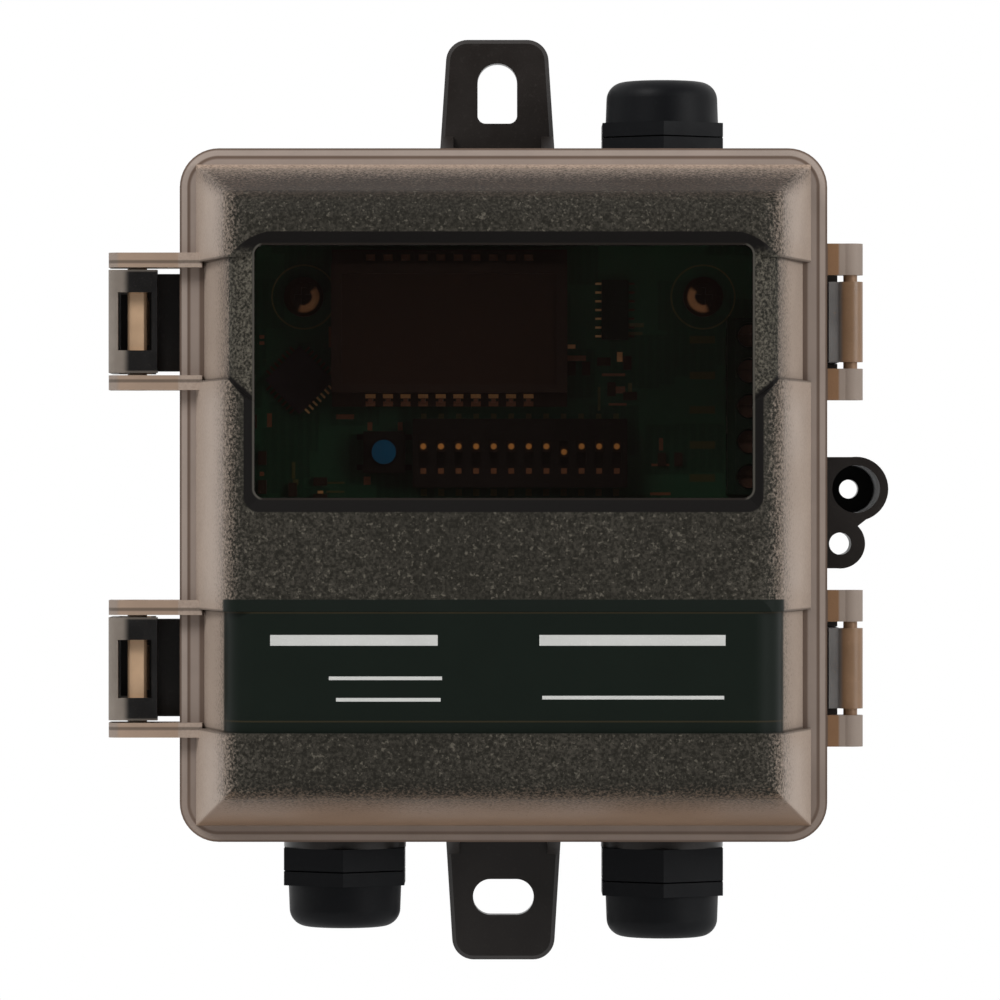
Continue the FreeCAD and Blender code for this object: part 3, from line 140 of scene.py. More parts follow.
class Graph:
    """A node tree with short calls that add a node and wire its inputs."""

    def __init__(self, tree: bpy.types.NodeTree) -> None:
        """Keep the tree that receives the nodes."""
        self.tree = tree

    def put(self, socket: bpy.types.NodeSocket, value: Value) -> None:
        """Link a socket or set its constant.

        Args:
            socket: Input to set.
            value: Wire to link, or a constant; a colour gets a fourth channel of one.
        """
        if isinstance(value, Wire):
            self.tree.links.new(value.socket, socket)
        elif isinstance(value, tuple) and len(value) == 3 and len(socket.default_value) == 4:
            socket.default_value = (*value, 1.0)
        else:
            socket.default_value = value

    def add(self, kind: str, inputs: dict[Any, Value], **settings: Any) -> bpy.types.Node:
        """Add one node.

        Args:
            kind: Node type without its ShaderNode prefix.
            inputs: Values by socket name or index.
            **settings: Attributes set on the node first.

        Returns:
            The new node.
        """
        node = self.tree.nodes.new(f"ShaderNode{kind}")
        for name, setting in settings.items():
            setattr(node, name, setting)
        for key, value in inputs.items():
            self.put(node.inputs[key], value)
        return node

    def wires(self, node: bpy.types.Node) -> list[Wire]:
        """All outputs of a node."""
        return [Wire(self, socket) for socket in node.outputs]

    def out(self, kind: str, inputs: dict[Any, Value], output: Any = 0,
            **settings: Any) -> Wire:
        """Add one node and take one of its outputs.

        Args:
            kind: Node type without its ShaderNode prefix.
            inputs: Values by socket name or index.
            output: Name or index of the output.
            **settings: Attributes set on the node first.

        Returns:
            The output.
        """
        return Wire(self, self.add(kind, inputs, **settings).outputs[output])

    def math(self, operation: str, first: Value, second: Value = 0.0) -> Wire:
        """Scalar arithmetic on two values."""
        return self.out("Math", {0: first, 1: second}, operation=operation)

    def fade(self, value: Value, low: float, high: float,
             start: float = 0.0, end: float = 1.0, shape: str = "SMOOTHSTEP") -> Wire:
        """Smooth step.

        Args:
            value: What is measured.
            low: Value at which the step starts.
            high: Value at which it ends.
            start: Result up to low.
            end: Result from high on.
            shape: Interpolation of the Map Range node.

        Returns:
            The result.
        """
        return self.out("MapRange", {"Value": value, "From Min": low, "From Max": high,
                                     "To Min": start, "To Max": end},
                        interpolation_type=shape)

    def ramp(self, value: Value, low: float, high: float, start: float, end: float) -> Wire:
        """Clamped straight line from start at low to end at high."""
        return self.fade(value, low, high, start, end, "LINEAR")

    def blend(self, factor: Value, first: Value, second: Value) -> Wire:
        """Mix of two colours; the Mix node keeps its colours in inputs 6 and 7, output 2."""
        return self.out("Mix", {0: factor, 6: first, 7: second}, 2, data_type="RGBA")

    def noise(self, place: Value, scale: Value, detail: float = 2.0,
              roughness: float = 0.5) -> Wire:
        """Noise value about 0.5."""
        return self.out("TexNoise", {"Vector": place, "Scale": scale, "Detail": detail,
                                     "Roughness": roughness}, "Fac")

    def vector(self, operation: str, inputs: dict[Any, Value]) -> Wire:
        """Arithmetic on vectors."""
        return self.out("VectorMath", inputs, "Vector", operation=operation)

    def split(self, place: Value) -> list[Wire]:
        """X, Y and Z of a vector."""
        return self.wires(self.add("SeparateXYZ", {0: place}))

    def length(self, first: Wire, second: Wire) -> Wire:
        """Length of a vector given by two values at right angles."""
        return self.math("SQRT", first ** 2.0 + second ** 2.0)

    def step(self, value: Value, middle: float, soft: float, down: bool = False) -> Wire:
        """Smooth step about a middle: up from zero to one, or down."""
        return self.fade(value, middle - soft, middle + soft, float(down), float(not down))

    def band(self, value: Value, limits: Limits, top: float = 1.0) -> Wire:
        """Mask that rises between the first two limits and falls between the last two."""
        first, second, third, fourth = limits
        return self.fade(value, first, second) * self.fade(value, third, fourth, top, 0.0)

    def near(self, value: Wire, middle: Value, inner: float, outer: float) -> Wire:
        """One within inner of a middle, falling to zero at outer."""
        return self.fade(abs(value - middle), inner, outer, 1.0, 0.0)


def group(name: str, inputs: dict[str, str],
          outputs: dict[str, str]) -> tuple[Graph, dict[str, Wire], Any]:
    """Start a shader node group.

    Args:
        name: Name of the group.
        inputs: Socket types by input name.
        outputs: Socket types by output name.

    Returns:
        The graph, its input wires by name and the inputs of its output node.
    """
    tree = bpy.data.node_groups.new(name, "ShaderNodeTree")
    for way, sockets in (("INPUT", inputs), ("OUTPUT", outputs)):
        for label, kind in sockets.items():
            tree.interface.new_socket(label, in_out=way, socket_type=f"NodeSocket{kind}")
    graph = Graph(tree)
    entry = tree.nodes.new("NodeGroupInput")
    leave = tree.nodes.new("NodeGroupOutput")
    return graph, dict(zip(inputs, graph.wires(entry))), leave.inputs


class Effects:
    """Node groups shared by the finishes, built once each."""

    def __init__(self) -> None:
        """Make every shared group."""
        self.trees = {maker.__name__: maker() for maker in (
            self.speckle, self.mottle, self.slab, self.draw_lines, self.rounded_box)}

    def speckle(self) -> bpy.types.NodeTree:
        """Fine frosted grain: points where two noises of unlike size peak together, which the
        finishes paint bright as glints.
        """
        graph, given, result = group(
            "speckle", {"Vector": "Vector", "Scale": "Float", "Sparse": "Float"},
            {"Mask": "Float", "Height": "Float"})
        fine = graph.noise(given["Vector"], given["Scale"], 1.5, 0.6)
        patch = graph.noise(given["Vector"], given["Scale"] * 0.31)
        both = (fine - given["Sparse"] * 0.1) * 0.74 + patch * 0.26
        graph.put(result["Mask"], graph.fade(both, 0.5, 0.68))
        graph.put(result["Height"], fine)
        return graph.tree

    def mottle(self) -> bpy.types.NodeTree:
        """Slow change of tone: a colour made lighter and darker by soft noise."""
        graph, given, result = group(
            "mottle", {"Vector": "Vector", "Color": "Color", "Scale": "Float",
                       "Amount": "Float"}, {"Color": "Color", "Mask": "Float"})
        value = graph.noise(given["Vector"], given["Scale"], 4.0, 0.55)
        gain = (value - 0.5) * given["Amount"] * 2.0 + 1.0
        graph.put(result["Color"], graph.vector("SCALE", {0: given["Color"], "Scale": gain}))
        graph.put(result["Mask"], value)
        return graph.tree

    def slab(self) -> bpy.types.NodeTree:
        """Soft-edged box mask: one inside half sizes about a centre, zero outside."""
        graph, given, result = group(
            "slab", {"Vector": "Vector", "Centre": "Vector", "Half": "Vector",
                     "Soft": "Float"}, {"Mask": "Float"})
        away = graph.vector("SUBTRACT", {0: given["Vector"], 1: given["Centre"]})
        away = graph.vector("ABSOLUTE", {0: away})
        x, y, z = graph.split(graph.vector("SUBTRACT", {0: away, 1: given["Half"]}))
        worst = graph.math("MAXIMUM", graph.math("MAXIMUM", x, y), z)
        graph.put(result["Mask"], graph.step(worst / given["Soft"], 0.0, 1.0, down=True))
        return graph.tree

    def draw_lines(self) -> bpy.types.NodeTree:
        """Long fine lines, as brushing or drawing leaves them."""
        graph, given, result = group(
            "draw_lines", {"Vector": "Vector", "Scale": "Float"},
            {"Mask": "Float", "Height": "Float"})
        lines = graph.noise(given["Vector"], given["Scale"], 3.0, 0.7)
        graph.put(result["Mask"], graph.fade(lines, 0.35, 0.65))
        graph.put(result["Height"], lines)
        return graph.tree

    def rounded_box(self) -> bpy.types.NodeTree:
        """Distance to a rounded rectangle about zero, negative inside it.

        Past a corner's centre it is the length to that centre less the radius; elsewhere it
        is the larger of the two distances to the sides.
        """
        graph, given, result = group(
            "rounded_box", {"Across": "Float", "Up": "Float", "HalfWidth": "Float",
                            "HalfHeight": "Float", "Radius": "Float"}, {"Distance": "Float"})
        past = [abs(given[place]) - (given[half] - given["Radius"])
                for place, half in (("Across", "HalfWidth"), ("Up", "HalfHeight"))]
        corner = graph.length(*(graph.math("MAXIMUM", part, 0.0) for part in past))
        side = graph.math("MINIMUM", graph.math("MAXIMUM", *past), 0.0)
        graph.put(result["Distance"], corner + side - given["Radius"])
        return graph.tree

    def place(self, graph: Graph, name: str, **inputs: Value) -> list[Wire]:
        """Put one shared group into a material.

        Args:
            graph: Graph of the material.
            name: Group's name.
            **inputs: Values by socket name.

        Returns:
            The group's outputs.
        """
        node = graph.tree.nodes.new("ShaderNodeGroup")
        node.node_tree = self.trees[name]
        for key, value in inputs.items():
            graph.put(node.inputs[key], value)
        return graph.wires(node)


# ---------------------------------------------------------------- finishes


def tinted(colour: Colour, gain: float, lift: float = 0.0) -> Colour:
    """Colour made brighter or darker, channel by channel, and held at one."""
    return tuple(min(1.0, gain * channel + lift) for channel in colour)


class Surface:
    """A material in the making: its graph, its shader and its object coordinates."""

    def __init__(self, name: str, effects: Effects) -> None:
        """Start a Principled material.

        Args:
            name: Material name.
            effects: Shared node groups.
        """
        self.effects = effects
        self.material = bpy.data.materials.new(name)
        self.material.use_nodes = True
        self.material.node_tree.nodes.clear()
        self.graph = Graph(self.material.node_tree)
        self.shader = self.graph.add("BsdfPrincipled", {})
        self.graph.add("OutputMaterial", {"Surface": Wire(self.graph, self.shader.outputs[0])})
        self.place = self.graph.out("TexCoord", {}, "Object")

    def effect(self, name: str, **inputs: Value) -> list[Wire]:
        """Outputs of a shared group that is placed on the object coordinates."""
        return self.effects.place(self.graph, name, Vector=self.place, **inputs)

    def rounded(self, across: Wire, up: Wire, half_width: Value, half_height: float,
                radius: float) -> Wire:
        """Distance to a rounded rectangle.

        Args:
            across: Place along its width, from its middle.
            up: Place along its height, from its middle.
            half_width: Half its width.
            half_height: Half its height.
            radius: Corner radius.

        Returns:
            The distance, negative inside.
        """
        return self.effects.place(self.graph, "rounded_box", Across=across, Up=up,
                                  HalfWidth=half_width, HalfHeight=half_height,
                                  Radius=radius)[0]

    def shade(self, **values: Value) -> None:
        """Set shader inputs by their short names."""
        for key, value in values.items():
            self.graph.put(self.shader.inputs[SHADER_INPUTS[key]], value)

    def bump(self, height: Wire, strength: float, distance: float) -> None:
        """Let a height raise the surface by up to a distance."""
        normal = self.graph.out("Bump", {"Height": height, "Strength": strength,
                                         "Distance": distance})
        self.graph.put(self.shader.inputs["Normal"], normal)


@dataclass(frozen=True)
class Finish:
    """Look of one material."""

    name: str

    def build(self, effects: Effects) -> bpy.types.Material:
        """Make the material.

        Args:
            effects: Shared node groups.

        Returns:
            The material.
        """
        surface = Surface(self.name, effects)
        self.wire(surface, surface.graph)
        return surface.material

    def wire(self, surface: Surface, graph: Graph) -> None:
        """Wire the shader.

        Args:
            surface: Material in the making.
            graph: Its graph.
        """
        raise NotImplementedError


@dataclass(frozen=True)
class Moulded(Finish):
    """Moulded plastic with a fine surface texture, painted glints on its grain and a slow change of
    tone.
    """

    colour: Colour
    roughness: float = 0.45
    grain_size: float = 0.45 * MM
    grain_depth: float = 0.06
    sparkle: float = 0.25
    tone: float = 0.22
    specular: float = 0.5

    def wire(self, surface: Surface, graph: Graph) -> None:
        """Wire the shader: points a little lighter than the mottled colour, as painted glints.

        Args:
            surface: Material in the making.
            graph: Its graph.
        """
        # painted highlight: grain points made lighter as glints
        painted_glints, height = surface.effect("speckle", Scale=1 / self.grain_size, Sparse=0.4)
        tone, slow = surface.effect("mottle", Color=self.colour, Scale=140.0, Amount=self.tone)
        surface.shade(
            colour=graph.blend(painted_glints * self.sparkle, tone, tinted(self.colour, 1.9, 0.012)),
            roughness=graph.ramp(slow, 0.3, 0.7, self.roughness - 0.05, self.roughness + 0.07),
            specular=self.specular)
        surface.bump(height, self.grain_depth, 0.1 * MM)


@dataclass(frozen=True)
class Smoked(Finish):
    """Translucent smoked moulding: lighter and clearer where it stands free of the box."""

    outer: Colour
    inner: Colour
    turn_x: float
    soft: float
    alpha: float = 0.9
    roughness: float = 0.34

    def wire(self, surface: Surface, graph: Graph) -> None:
        """Wire the shader; the tone turns from inner to outer at |x| = turn_x.

        Args:
            surface: Material in the making.
            graph: Its graph.
        """
        x = graph.split(surface.place)[0]
        share = graph.step(abs(x), self.turn_x, self.soft)
        tone, slow = surface.effect("mottle", Color=graph.blend(share, self.inner, self.outer),
                                    Scale=220.0, Amount=0.3)
        # painted highlight: grain points made lighter than the tone as glints
        painted_glints, height = surface.effect("speckle", Scale=2600.0, Sparse=0.6)
        surface.shade(
            colour=graph.blend(painted_glints * 0.3, tone, tinted(self.outer, 1.35, 0.02)),
            roughness=graph.ramp(slow, 0.3, 0.7, self.roughness - 0.06, self.roughness + 0.08),
            alpha=graph.fade(share, 0.0, 1.0, 1.0, self.alpha))
        surface.bump(height, 0.05, 0.08 * MM)


@dataclass(frozen=True)
class LatchSkin(Finish):
    """Smoked latch: pale outer wall, dark front plate over the black catch, pale pivot rod."""

    wall: Colour = (0.195, 0.165, 0.138)
    plate: Colour = (0.007, 0.0062, 0.006)
    rod: Colour = (0.47, 0.31, 0.19)
    wall_x: float = 53.9 * MM
    rod_x: float = 52.4 * MM
    rod_half: float = 1.5 * MM
    plate_back: float = 34.4 * MM
    ear_gap: float = 7.35 * MM
    latch_height: float = 24.8 * MM

    def wire(self, surface: Surface, graph: Graph) -> None:
        """Wire the shader from the plate outwards: wall, rod behind the plate, pale ends.

        Args:
            surface: Material in the making.
            graph: Its graph.
        """
        x, y, z = graph.split(surface.place)
        x = abs(x)
        outer = graph.step(x, self.wall_x, 0.6 * MM)
        behind = graph.fade(y * -1.0, self.plate_back + 0.35 * MM,
                            self.plate_back + 0.6 * MM, 1.0, 0.0)
        rod = behind * graph.near(x, self.rod_x, self.rod_half, self.rod_half + 0.1 * MM)
        colour = graph.blend(outer, self.plate, self.wall)
        colour = graph.blend(rod, colour, self.rod)
        off_middle = abs(abs(z) - self.latch_height)
        rim = graph.fade(off_middle, self.ear_gap - 0.4 * MM, self.ear_gap - 0.1 * MM)
        colour = graph.blend(rim * 0.5, colour, self.wall)
        tone, slow = surface.effect("mottle", Color=colour, Scale=260.0, Amount=0.25)
        # painted highlight: faint glints on the grain, toward the wall colour
        painted_glints, height = surface.effect("speckle", Scale=3800.0, Sparse=0.3)
        surface.shade(colour=graph.blend(painted_glints * 0.06, tone, self.wall),
                      roughness=graph.ramp(slow, 0.3, 0.7, 0.3, 0.45),
                      alpha=graph.ramp(outer, 0.0, 1.0, 1.0, 0.92), specular=0.3)
        surface.bump(height, 0.05, 0.08 * MM)


@dataclass(frozen=True)
class Metal(Finish):
    """Plated or drawn metal with fine lines and slight tarnish."""

    colour: Colour
    dull: Colour
    roughness: float = 0.3
    grain: Grain = Grain.NONE
    line_scale: float = 2500.0
    metallic: float = 1.0

    def wire(self, surface: Surface, graph: Graph) -> None:
        """Wire the shader: duller along the lines, which are stretched by the grain.

        Args:
            surface: Material in the making.
            graph: Its graph.
        """
        drawn = graph.out("Mapping", {"Vector": surface.place, "Scale": self.grain.value})
        lines, height = surface.effects.place(graph, "draw_lines", Vector=drawn,
                                              Scale=self.line_scale)
        tone, _ = surface.effect("mottle", Color=self.colour, Scale=500.0, Amount=0.2)
        surface.shade(
            colour=graph.blend(lines * 0.35, tone, self.dull),
            roughness=graph.ramp(height, 0.3, 0.7, self.roughness - 0.08, self.roughness + 0.1),
            metallic=self.metallic)
        surface.bump(height, 0.12, 0.05 * MM)


@dataclass(frozen=True)
class Laminate(Finish):
    """Circuit board: solder mask over a dim copper pattern, with bare glass-fibre edges."""

    mask: Colour = (0.013, 0.054, 0.025)
    copper_under_mask: Colour = (0.02, 0.08, 0.036)
    core: Colour = (0.32, 0.3, 0.14)
    half_width: float = 41.5 * MM
    half_height: float = 37.0 * MM
    skin: float = 0.05 * MM
    track_pitch: float = 1.27 * MM

    def wire(self, surface: Surface, graph: Graph) -> None:
        """Wire the shader; copper areas are broad cells cut by a grid of fine lines.

        Args:
            surface: Material in the making.
            graph: Its graph.
        """
        x, _, z = graph.split(surface.place)
        cells = graph.out("TexVoronoi", {"Vector": graph.out("CombineXYZ", {0: x, 1: z}),
                                         "Scale": 120.0}, "Distance", distance="CHEBYCHEV",
                          feature="F1")
        tracks = graph.math("SINE", x * (2 * math.pi / self.track_pitch))
        copper = graph.math("MAXIMUM", graph.fade(cells, 0.42, 0.44),
                            graph.fade(tracks, 0.2, 0.4) * 0.35)
        face = graph.blend(copper, self.mask, self.copper_under_mask)
        tone, _ = surface.effect("mottle", Color=face, Scale=90.0, Amount=0.25)
        inside, = surface.effect(
            "slab", Centre=(0.0, 0.0, 0.0),
            Half=(self.half_width - self.skin, 1.0, self.half_height - self.skin),
            Soft=0.03 * MM)
        surface.shade(colour=graph.blend(inside, self.core, tone),
                      roughness=graph.ramp(inside, 0.0, 1.0, 0.7, 0.3), specular=0.2)
        surface.bump(copper, 0.3, 0.03 * MM)


@dataclass(frozen=True)
class Pane(Finish):
    """Glass face of the display, with a faint grid of unlit dots, in its dark frame."""

    low: tuple[float, float] = (-23.3 * MM, 16.0 * MM)
    high: tuple[float, float] = (7.7 * MM, 31.9 * MM)
    face_depth: float = 28.25 * MM
    dot_pitch: float = 0.62 * MM
    glass: Colour = (0.036, 0.017, 0.011)
    dot: Colour = (0.046, 0.023, 0.015)
    frame: Colour = (0.034, 0.016, 0.01)

    def wire(self, surface: Surface, graph: Graph) -> None:
        """Wire the shader; the pane is smooth and brownish, the frame matt.

        Args:
            surface: Material in the making.
            graph: Its graph.
        """
        x, _, z = graph.split(surface.place)
        centre = [(a + b) / 2 for a, b in zip(self.low, self.high)]
        half = [(b - a) / 2 for a, b in zip(self.low, self.high)]
        pane, = surface.effect("slab", Centre=(centre[0], -self.face_depth, centre[1]),
                               Half=(half[0], 0.4 * MM, half[1]), Soft=0.05 * MM)
        waves = [graph.math("SINE", part * (2 * math.pi / self.dot_pitch)) for part in (x, z)]
        dots = graph.fade(graph.math("MINIMUM", *waves), -0.2, 0.2)
        frame, _ = surface.effect("mottle", Color=self.frame, Scale=300.0, Amount=0.2)
        surface.shade(
            colour=graph.blend(pane, frame, graph.blend(dots * 0.3, self.glass, self.dot)),
            roughness=graph.ramp(pane, 0.0, 1.0, 0.6, 0.16), specular=0.12)


@dataclass(frozen=True)
class ScrewHead(Finish):
    """Dark plated screw head with one copper arc painted on its rounded rim as a reflection.

    The painted reflection faces the middle of the board, low on each head.
    """

    centre: tuple[float, float]
    dark: Colour = (0.035, 0.012, 0.006)
    # colour of the painted reflection
    copper: Colour = (1.0, 0.43, 0.18)
    glint_radius: float = 1.75 * MM
    toward: tuple[float, float] = (-0.8, -0.6)

    def wire(self, surface: Surface, graph: Graph) -> None:
        """Wire the shader: a painted reflection, a ring kept where the way out of the centre is near
        toward.

        Args:
            surface: Material in the making.
            graph: Its graph.
        """
        x, _, z = graph.split(surface.place)
        across, up = abs(x) - self.centre[0], z - self.centre[1]
        radius = graph.length(across, up)
        lean = across * self.toward[0] + up * self.toward[1]
        facing = lean / graph.math("MAXIMUM", radius, 0.1 * MM)
        ring = graph.near(radius, self.glint_radius, 0.32 * MM, 0.72 * MM)
        tone, _ = surface.effect("mottle", Color=self.copper, Scale=700.0, Amount=0.3)
        # painted reflection: the copper arc on the rim
        surface.shade(colour=graph.blend(ring * graph.fade(facing, 0.15, 0.5), self.dark, tone),
                      roughness=0.4, specular=0.15)


@dataclass(frozen=True)
class SliderCap(Finish):
    """Switch slider: a dark cap with one small bright round dot."""

    height: float
    first: float
    pitch: float = 2.54 * MM
    dot: float = 0.52 * MM
    dark: Colour = (0.03, 0.012, 0.005)
    bright: Colour = (1.0, 0.38, 0.08)

    def wire(self, surface: Surface, graph: Graph) -> None:
        """Wire the shader; one formula serves every way, since the dots repeat by the pitch.

        Forty pitches are added first, which keeps the remainder above zero.

        Args:
            surface: Material in the making.
            graph: Its graph.
        """
        x, _, z = graph.split(surface.place)
        across = (x - self.first + 40.0 * self.pitch) % self.pitch - self.pitch / 2
        radius = graph.length(across, z - self.height)
        spot = graph.fade(radius, self.dot - 0.22 * MM, self.dot, 1.0, 0.0)
        tone, _ = surface.effect("mottle", Color=self.bright, Scale=900.0, Amount=0.2)
        surface.shade(colour=graph.blend(spot, self.dark, tone), roughness=0.45, specular=0.15)


@dataclass(frozen=True)
class Chip(Finish):
    """Moulded chip with plated leads; the leads on its lit side are bright."""

    centre: tuple[float, float]
    half: tuple[float, float]
    turned: bool = False
    body: Colour = (0.02, 0.011, 0.011)
    lead: Colour = (0.08, 0.035, 0.015)
    lit: Colour = (1.0, 0.55, 0.22)
    edge: float = 0.05 * MM

    def wire(self, surface: Surface, graph: Graph) -> None:
        """Wire the shader; a turned chip stands on its corner, at 45 degrees.

        Args:
            surface: Material in the making.
            graph: Its graph.
        """
        x, _, z = graph.split(surface.place)
        x, z = x - self.centre[0], z - self.centre[1]
        if self.turned:
            x, z = (z - x) * math.sqrt(0.5), (z + x) * math.sqrt(0.5)
        body, _ = surface.effect("mottle", Color=self.body, Scale=400.0, Amount=0.25)
        out = graph.math("MAXIMUM", *(graph.fade(abs(part), half, half + self.edge)
                                      for part, half in zip((x, z), self.half)))
        lit = graph.fade(x, -self.half[0] - self.edge, -self.half[0], 1.0, 0.0)
        surface.shade(colour=graph.blend(lit, graph.blend(out, body, self.lead), self.lit),
                      roughness=0.5, specular=0.15)


@dataclass(frozen=True)
class Spot:
    """What the cover's finish knows of a point.

    Across is x with its sign, and x has none. Raised marks what stands before the flange. Fine
    is a noise, and grain is the same noise sharpened.
    """

    surface: Surface
    graph: Graph
    across: Wire
    x: Wire
    z: Wire
    raised: Wire
    fine: Wire
    grain: Wire


@dataclass(frozen=True)
class CoverSkin(Finish):
    """Smoked cover: slopes painted tan with the light that shines through them, dark frosted face,
    polished sight window and label field.

    Depths, heights and half widths are the cover's own sizes.
    """

    rim_dark: Colour = (0.125, 0.088, 0.068)
    bead_highlight: Colour = (0.31, 0.255, 0.22)
    # painted light: tan of the slopes lit through; painted shade: brown of the bottom slope
    slope_lit_tan: Colour = (0.36, 0.285, 0.232)
    slope_shade_brown: Colour = (0.2, 0.128, 0.083)
    foot_highlight_pink: Colour = (0.5, 0.37, 0.285)
    face_dark: Colour = (0.0115, 0.0105, 0.0075)
    face_brown: Colour = (0.016, 0.0115, 0.0085)
    # painted highlight: glints on the dark frosted face
    face_glint_light: Colour = (0.062, 0.055, 0.044)
    face_glint_tan: Colour = (0.092, 0.062, 0.044)
    face_glint_point: Colour = (0.125, 0.112, 0.088)
    band_line: Colour = (0.035, 0.028, 0.023)
    pane_dark: Colour = (0.0055, 0.0038, 0.003)
    recess_dark: Colour = (0.0042, 0.0035, 0.003)
    label_dark: Colour = (0.0045, 0.0075, 0.0052)
    label_brown: Colour = (0.021, 0.017, 0.0085)
    # painted highlight along the pane's edge, dim and pale
    edge_highlight_dim: Colour = (0.012, 0.009, 0.007)
    edge_highlight_pale: Colour = (0.05, 0.046, 0.038)
    ear_tan: Colour = (0.31, 0.225, 0.167)
    knuckle_highlight_grey: Colour = (0.254, 0.205, 0.171)
    web_brown: Colour = (0.205, 0.114, 0.061)
    half_width: float = 46.3 * MM
    half_height: float = 49.6 * MM
    corner: float = 5.6 * MM
    # where the bead's painted highlight lies, inward from the edge
    outer_bead: Limits = (0.15 * MM, 0.4 * MM, 0.95 * MM, 1.2 * MM)
    inner_bead: Limits = (1.35 * MM, 1.7 * MM, 2.6 * MM, 3.0 * MM)
    foot_highlight_band: Limits = (46.3 * MM, 46.9 * MM, 47.3 * MM, 47.6 * MM)
    knuckle_x: float = 48.0 * MM
    ear_x: float = -55.0 * MM
    flange_front: float = 34.0 * MM
    shell_depth: float = 52.8 * MM
    face_half_width: float = 38.6 * MM
    face_half_height: float = 41.9 * MM
    band_centre: float = 24.8 * MM
    band_half: float = 8.5 * MM
    window_low: float = -2.4 * MM
    window_top: float = 36.8 * MM
    window_half_width: float = 36.3 * MM
    window_corner: float = 2.2 * MM
    shoulder: tuple[float, float] = (13.6 * MM, 16.3 * MM)
    shoulder_reach: float = 2.3 * MM
    crown_low: float = 33.3 * MM
    crown_draft: float = 3.8 * MM
    pane_low: float = -0.4 * MM
    pane_top: float = 34.9 * MM
    pane_half_width: float = 34.8 * MM
    pane_corner: float = 1.3 * MM
    pane_edge_highlight: Limits = (-0.02 * MM, 0.1 * MM, 0.22 * MM, 0.4 * MM)
    pane_alpha: float = 0.27
    label_top: float = -14.6 * MM
    label_low: float = -33.3 * MM
    label_half_width: float = 39.3 * MM
    label_middle: float = -24.05 * MM
    label_line: float = 7.6 * MM

    def fittings(self, at: Spot) -> Wire:
        """Colour beside the flange: brown webs and knuckles with a painted grey highlight right, tan
        ears left whose outer ends get the same painted highlight.

        Args:
            at: Point on the cover.

        Returns:
            The colour.
        """
        # painted highlight: grey on the rounded knuckles and ear ends
        knuckle = at.graph.step(at.across, self.knuckle_x, 0.2 * MM)
        right = at.graph.blend(knuckle, self.web_brown, self.knuckle_highlight_grey)
        end = at.graph.step(at.across, self.ear_x, 0.4 * MM)
        left = at.graph.blend(end, self.knuckle_highlight_grey, self.ear_tan)
        return at.graph.blend(at.graph.math("GREATER_THAN", at.across, 0.0), left, right)

    def rim(self, at: Spot) -> Wire:
        """Colour of the flange: a painted highlight along its bead, between a dark outer edge and a
        dark inner line, dimmed by painted shade towards the bottom.

        Args:
            at: Point on the cover.

        Returns:
            The colour.
        """
        graph = at.graph
        inward = at.surface.rounded(at.x, at.z, self.half_width, self.half_height,
                                    self.corner) * -1.0
        # painted highlight on the bead; painted shade halves it at the bottom
        bead = graph.math("MAXIMUM", graph.band(inward, self.outer_bead),
                          graph.band(inward, self.inner_bead) * 0.72)
        lower = graph.fade(at.z, -50 * MM, -30 * MM, 0.5, 1.0)
        return graph.blend(bead * lower, self.rim_dark, self.bead_highlight)

    def moulding(self, at: Spot) -> Wire:
        """Colour of the flange, the slopes and the pieces beside them; the slopes carry painted light
        and shade.

        Args:
            at: Point on the cover.

        Returns:
            The colour.
        """
        graph = at.graph
        # painted shade: the bottom slope is browner than the sides, which are painted lit tan
        lead = (abs(at.z) - self.face_half_height) - (at.x - self.face_half_width)
        under = graph.step(lead, 0.0, 0.5 * MM) * graph.fade(at.z, -1.0 * MM, 0.0, 1.0, 0.0)
        # painted light on the side slopes, painted shade on the bottom slope
        slope = graph.blend(under, self.slope_lit_tan, self.slope_shade_brown)
        slope = graph.blend(at.grain * 0.22, slope, self.rim_dark)
        # painted highlight: a pink line along the foot of the top slope
        slope = graph.blend(graph.band(at.z, self.foot_highlight_band, 0.8), slope, self.foot_highlight_pink)
        outside = graph.fade(at.x, self.half_width, self.half_width + 0.2 * MM)
        return graph.blend(outside, graph.blend(at.raised, self.rim(at), slope),
                           self.fittings(at))

    def darkness(self, at: Spot) -> Wire:
        """Mask of the dark face: it runs past the mitres at the top and is ragged by the grain.

        The side limit moves out by as much as a point lies above the face.

        Args:
            at: Point on the cover.

        Returns:
            The mask.
        """
        graph, wide, tall = at.graph, self.face_half_width, self.face_half_height
        ragged = (at.fine - 0.5) * (7.0 * MM)
        beside = at.x - graph.math("MAXIMUM", at.z - tall, 0.0) + ragged
        side = graph.fade(beside, wide - 1.6 * MM, wide + 2.8 * MM, 1.0, 0.0)
        top = graph.fade(at.z + ragged, tall + 2.4 * MM, tall + 6.6 * MM, 1.0, 0.0)
        low = graph.fade(at.z - ragged, -tall - 3.6 * MM, -tall + 1.2 * MM)
        return side * top * low * at.raised

    def frosting(self, at: Spot) -> Wire:
        """Colour of the dark face: grains and points painted as glints, stronger near the sides and
        browner towards the top.

        Args:
            at: Point on the cover.

        Returns:
            The colour.
        """
        graph, tall = at.graph, self.face_half_height
        strength = (graph.ramp(graph.noise(at.surface.place, 42.0, 3.0), 0.3, 0.7, 0.36, 0.62)
                    + graph.fade(at.x, 30 * MM, 39 * MM, 0.0, 0.35))
        upper = graph.fade(at.z, tall - 1.0 * MM, tall + 1.5 * MM)
        points = graph.fade(graph.noise(at.surface.place, 1900.0), 0.6, 0.72)
        # painted highlight: glints on the frosted grain, and bright points
        frosted = graph.blend(at.grain * strength,
                              graph.blend(upper, self.face_dark, self.face_brown),
                              graph.blend(upper, self.face_glint_light, self.face_glint_tan))
        return graph.blend(points * 0.5, frosted, self.face_glint_point)

